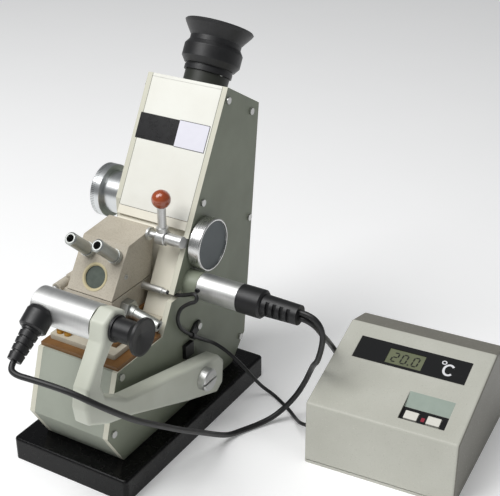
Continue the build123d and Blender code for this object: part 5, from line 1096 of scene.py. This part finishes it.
def add_screws():
    axis = Vector(TOWER_UP)
    out = EYEPIECE_SCREW - EYEPIECE_FOOT
    out -= axis * out.dot(axis)
    steel = (STEEL, "steel")
    plastic = (BLACK_MOULD, "black_plastic")
    for name, place, facing, radius, height, body, finish in (
        ("eyepiece_set_screw", EYEPIECE_SCREW, out, 1.3, 0.5, "instrument", steel),
        ("lamp_set_screw", LAMP_SCREW, LAMP_SCREW_OUT, 1.9, 1.6, "instrument", plastic),
        ("lid_screw", LID_SCREW, (1, 0, 0), 2.0, 0.8, "prism_lid", steel),
    ):
        socket_screw(name, place, facing, radius, height, body, *finish)


def add_window_ring():
    """The pale ring round the prism window, on the lid's sloping front."""
    run, rise = LID_SLOPE
    foot_y, foot_z = LID_FOOT
    middle = (WINDOW_X, foot_y + (WINDOW_Z - foot_z) * run / rise, WINDOW_Z)
    bench = Bench(middle, (1, 0, 0), (0, run, rise))
    work = bmesh.new()
    turned(work, bench, WINDOW_RING, RING_STEPS, closed=True)
    add_piece("window_ring", mesh_of("window_ring", work), "prism_lid", WINDOW_GOLD)


add_screws()
add_window_ring()

JOINT_X = 31.45
JOINT_HALF_W = 0.2
JOINT_SPAN = (-103.8, -0.6)
JOINT_CORNER = 0.05
JOINT_LAYER = (-0.1, 0.03)
JOINT_SHADE = bare_label("joint_shade", tone(120, 120, 108), tone(98, 98, 88), 0.6)


def add_joint_lines():
    """Dark lines where the tower's front cover meets the side plates."""
    work = bmesh.new()
    for side in (-1, 1):
        limits = (side * JOINT_X - JOINT_HALF_W, side * JOINT_X + JOINT_HALF_W, *JOINT_SPAN)
        slab(work, TOWER_FRONT, rounded_box(*limits, JOINT_CORNER, 1), *JOINT_LAYER)
    add_piece("joint_lines", mesh_of("joint_lines", work), "instrument", JOINT_SHADE)


add_joint_lines()


# ---------------------------------------------------------------- floor and light
FLOOR_REACH = 3.0
FLOOR_SHADES = (tone(252, 252, 252), tone(249, 249, 249))
FLOOR_GLOW = 0.14
LIGHT_TARGET = (0.06, 0.0, 0.12)
PANELS = (  # name, place, size and power
    ("key_panel", (-0.62, -1.0, 1.75), (1.1, 1.1), 24),
    ("top_panel", (0.0, -0.35, 1.75), (1.1, 0.8), 12),
)
ROOM_SHADE = (0.93, 0.95, 0.97, 1)
ROOM_STRENGTH = 0.22


def add_floor():
    work = bmesh.new()
    height = cad_box[0].z
    corners = [(-1, -1), (1, -1), (1, 1), (-1, 1)]
    work.faces.new([work.verts.new((x * FLOOR_REACH, y * FLOOR_REACH, height)) for x, y in corners])
    mesh = bpy.data.meshes.new("floor")
    work.to_mesh(mesh)
    work.free()
    floor = bpy.data.objects.new("floor", mesh)
    bpy.context.scene.collection.objects.link(floor)
    paint = Paint("pale_floor")
    grain = paint.noise(size=90, detail=3)
    shade = paint.mix(grain, *FLOOR_SHADES)
    paint.put("Base Color", shade)
    paint.put("Roughness", 0.7 + grain * 0.1)
    paint.put("Emission Color", shade)
    paint.put("Emission Strength", FLOOR_GLOW)
    mesh.materials.append(paint.material)


def add_panel_light(name, place, size, power):
    light = bpy.data.lights.new(name, "AREA")
    light.shape = "RECTANGLE"
    light.size, light.size_y = size
    light.energy = power
    lamp = bpy.data.objects.new(name, light)
    lamp.location = place
    lamp.rotation_mode = "QUATERNION"
    lamp.rotation_quaternion = (Vector(LIGHT_TARGET) - Vector(place)).to_track_quat("-Z", "Y")
    bpy.context.scene.collection.objects.link(lamp)


def add_room_light():
    world = bpy.data.worlds.new("studio")
    world.use_nodes = True
    background = world.node_tree.nodes["Background"]
    background.inputs["Color"].default_value = ROOM_SHADE
    background.inputs["Strength"].default_value = ROOM_STRENGTH
    bpy.context.scene.world = world
    bpy.context.scene.view_settings.view_transform = "Standard"


add_floor()
for panel in PANELS:
    add_panel_light(*panel)
add_room_light()
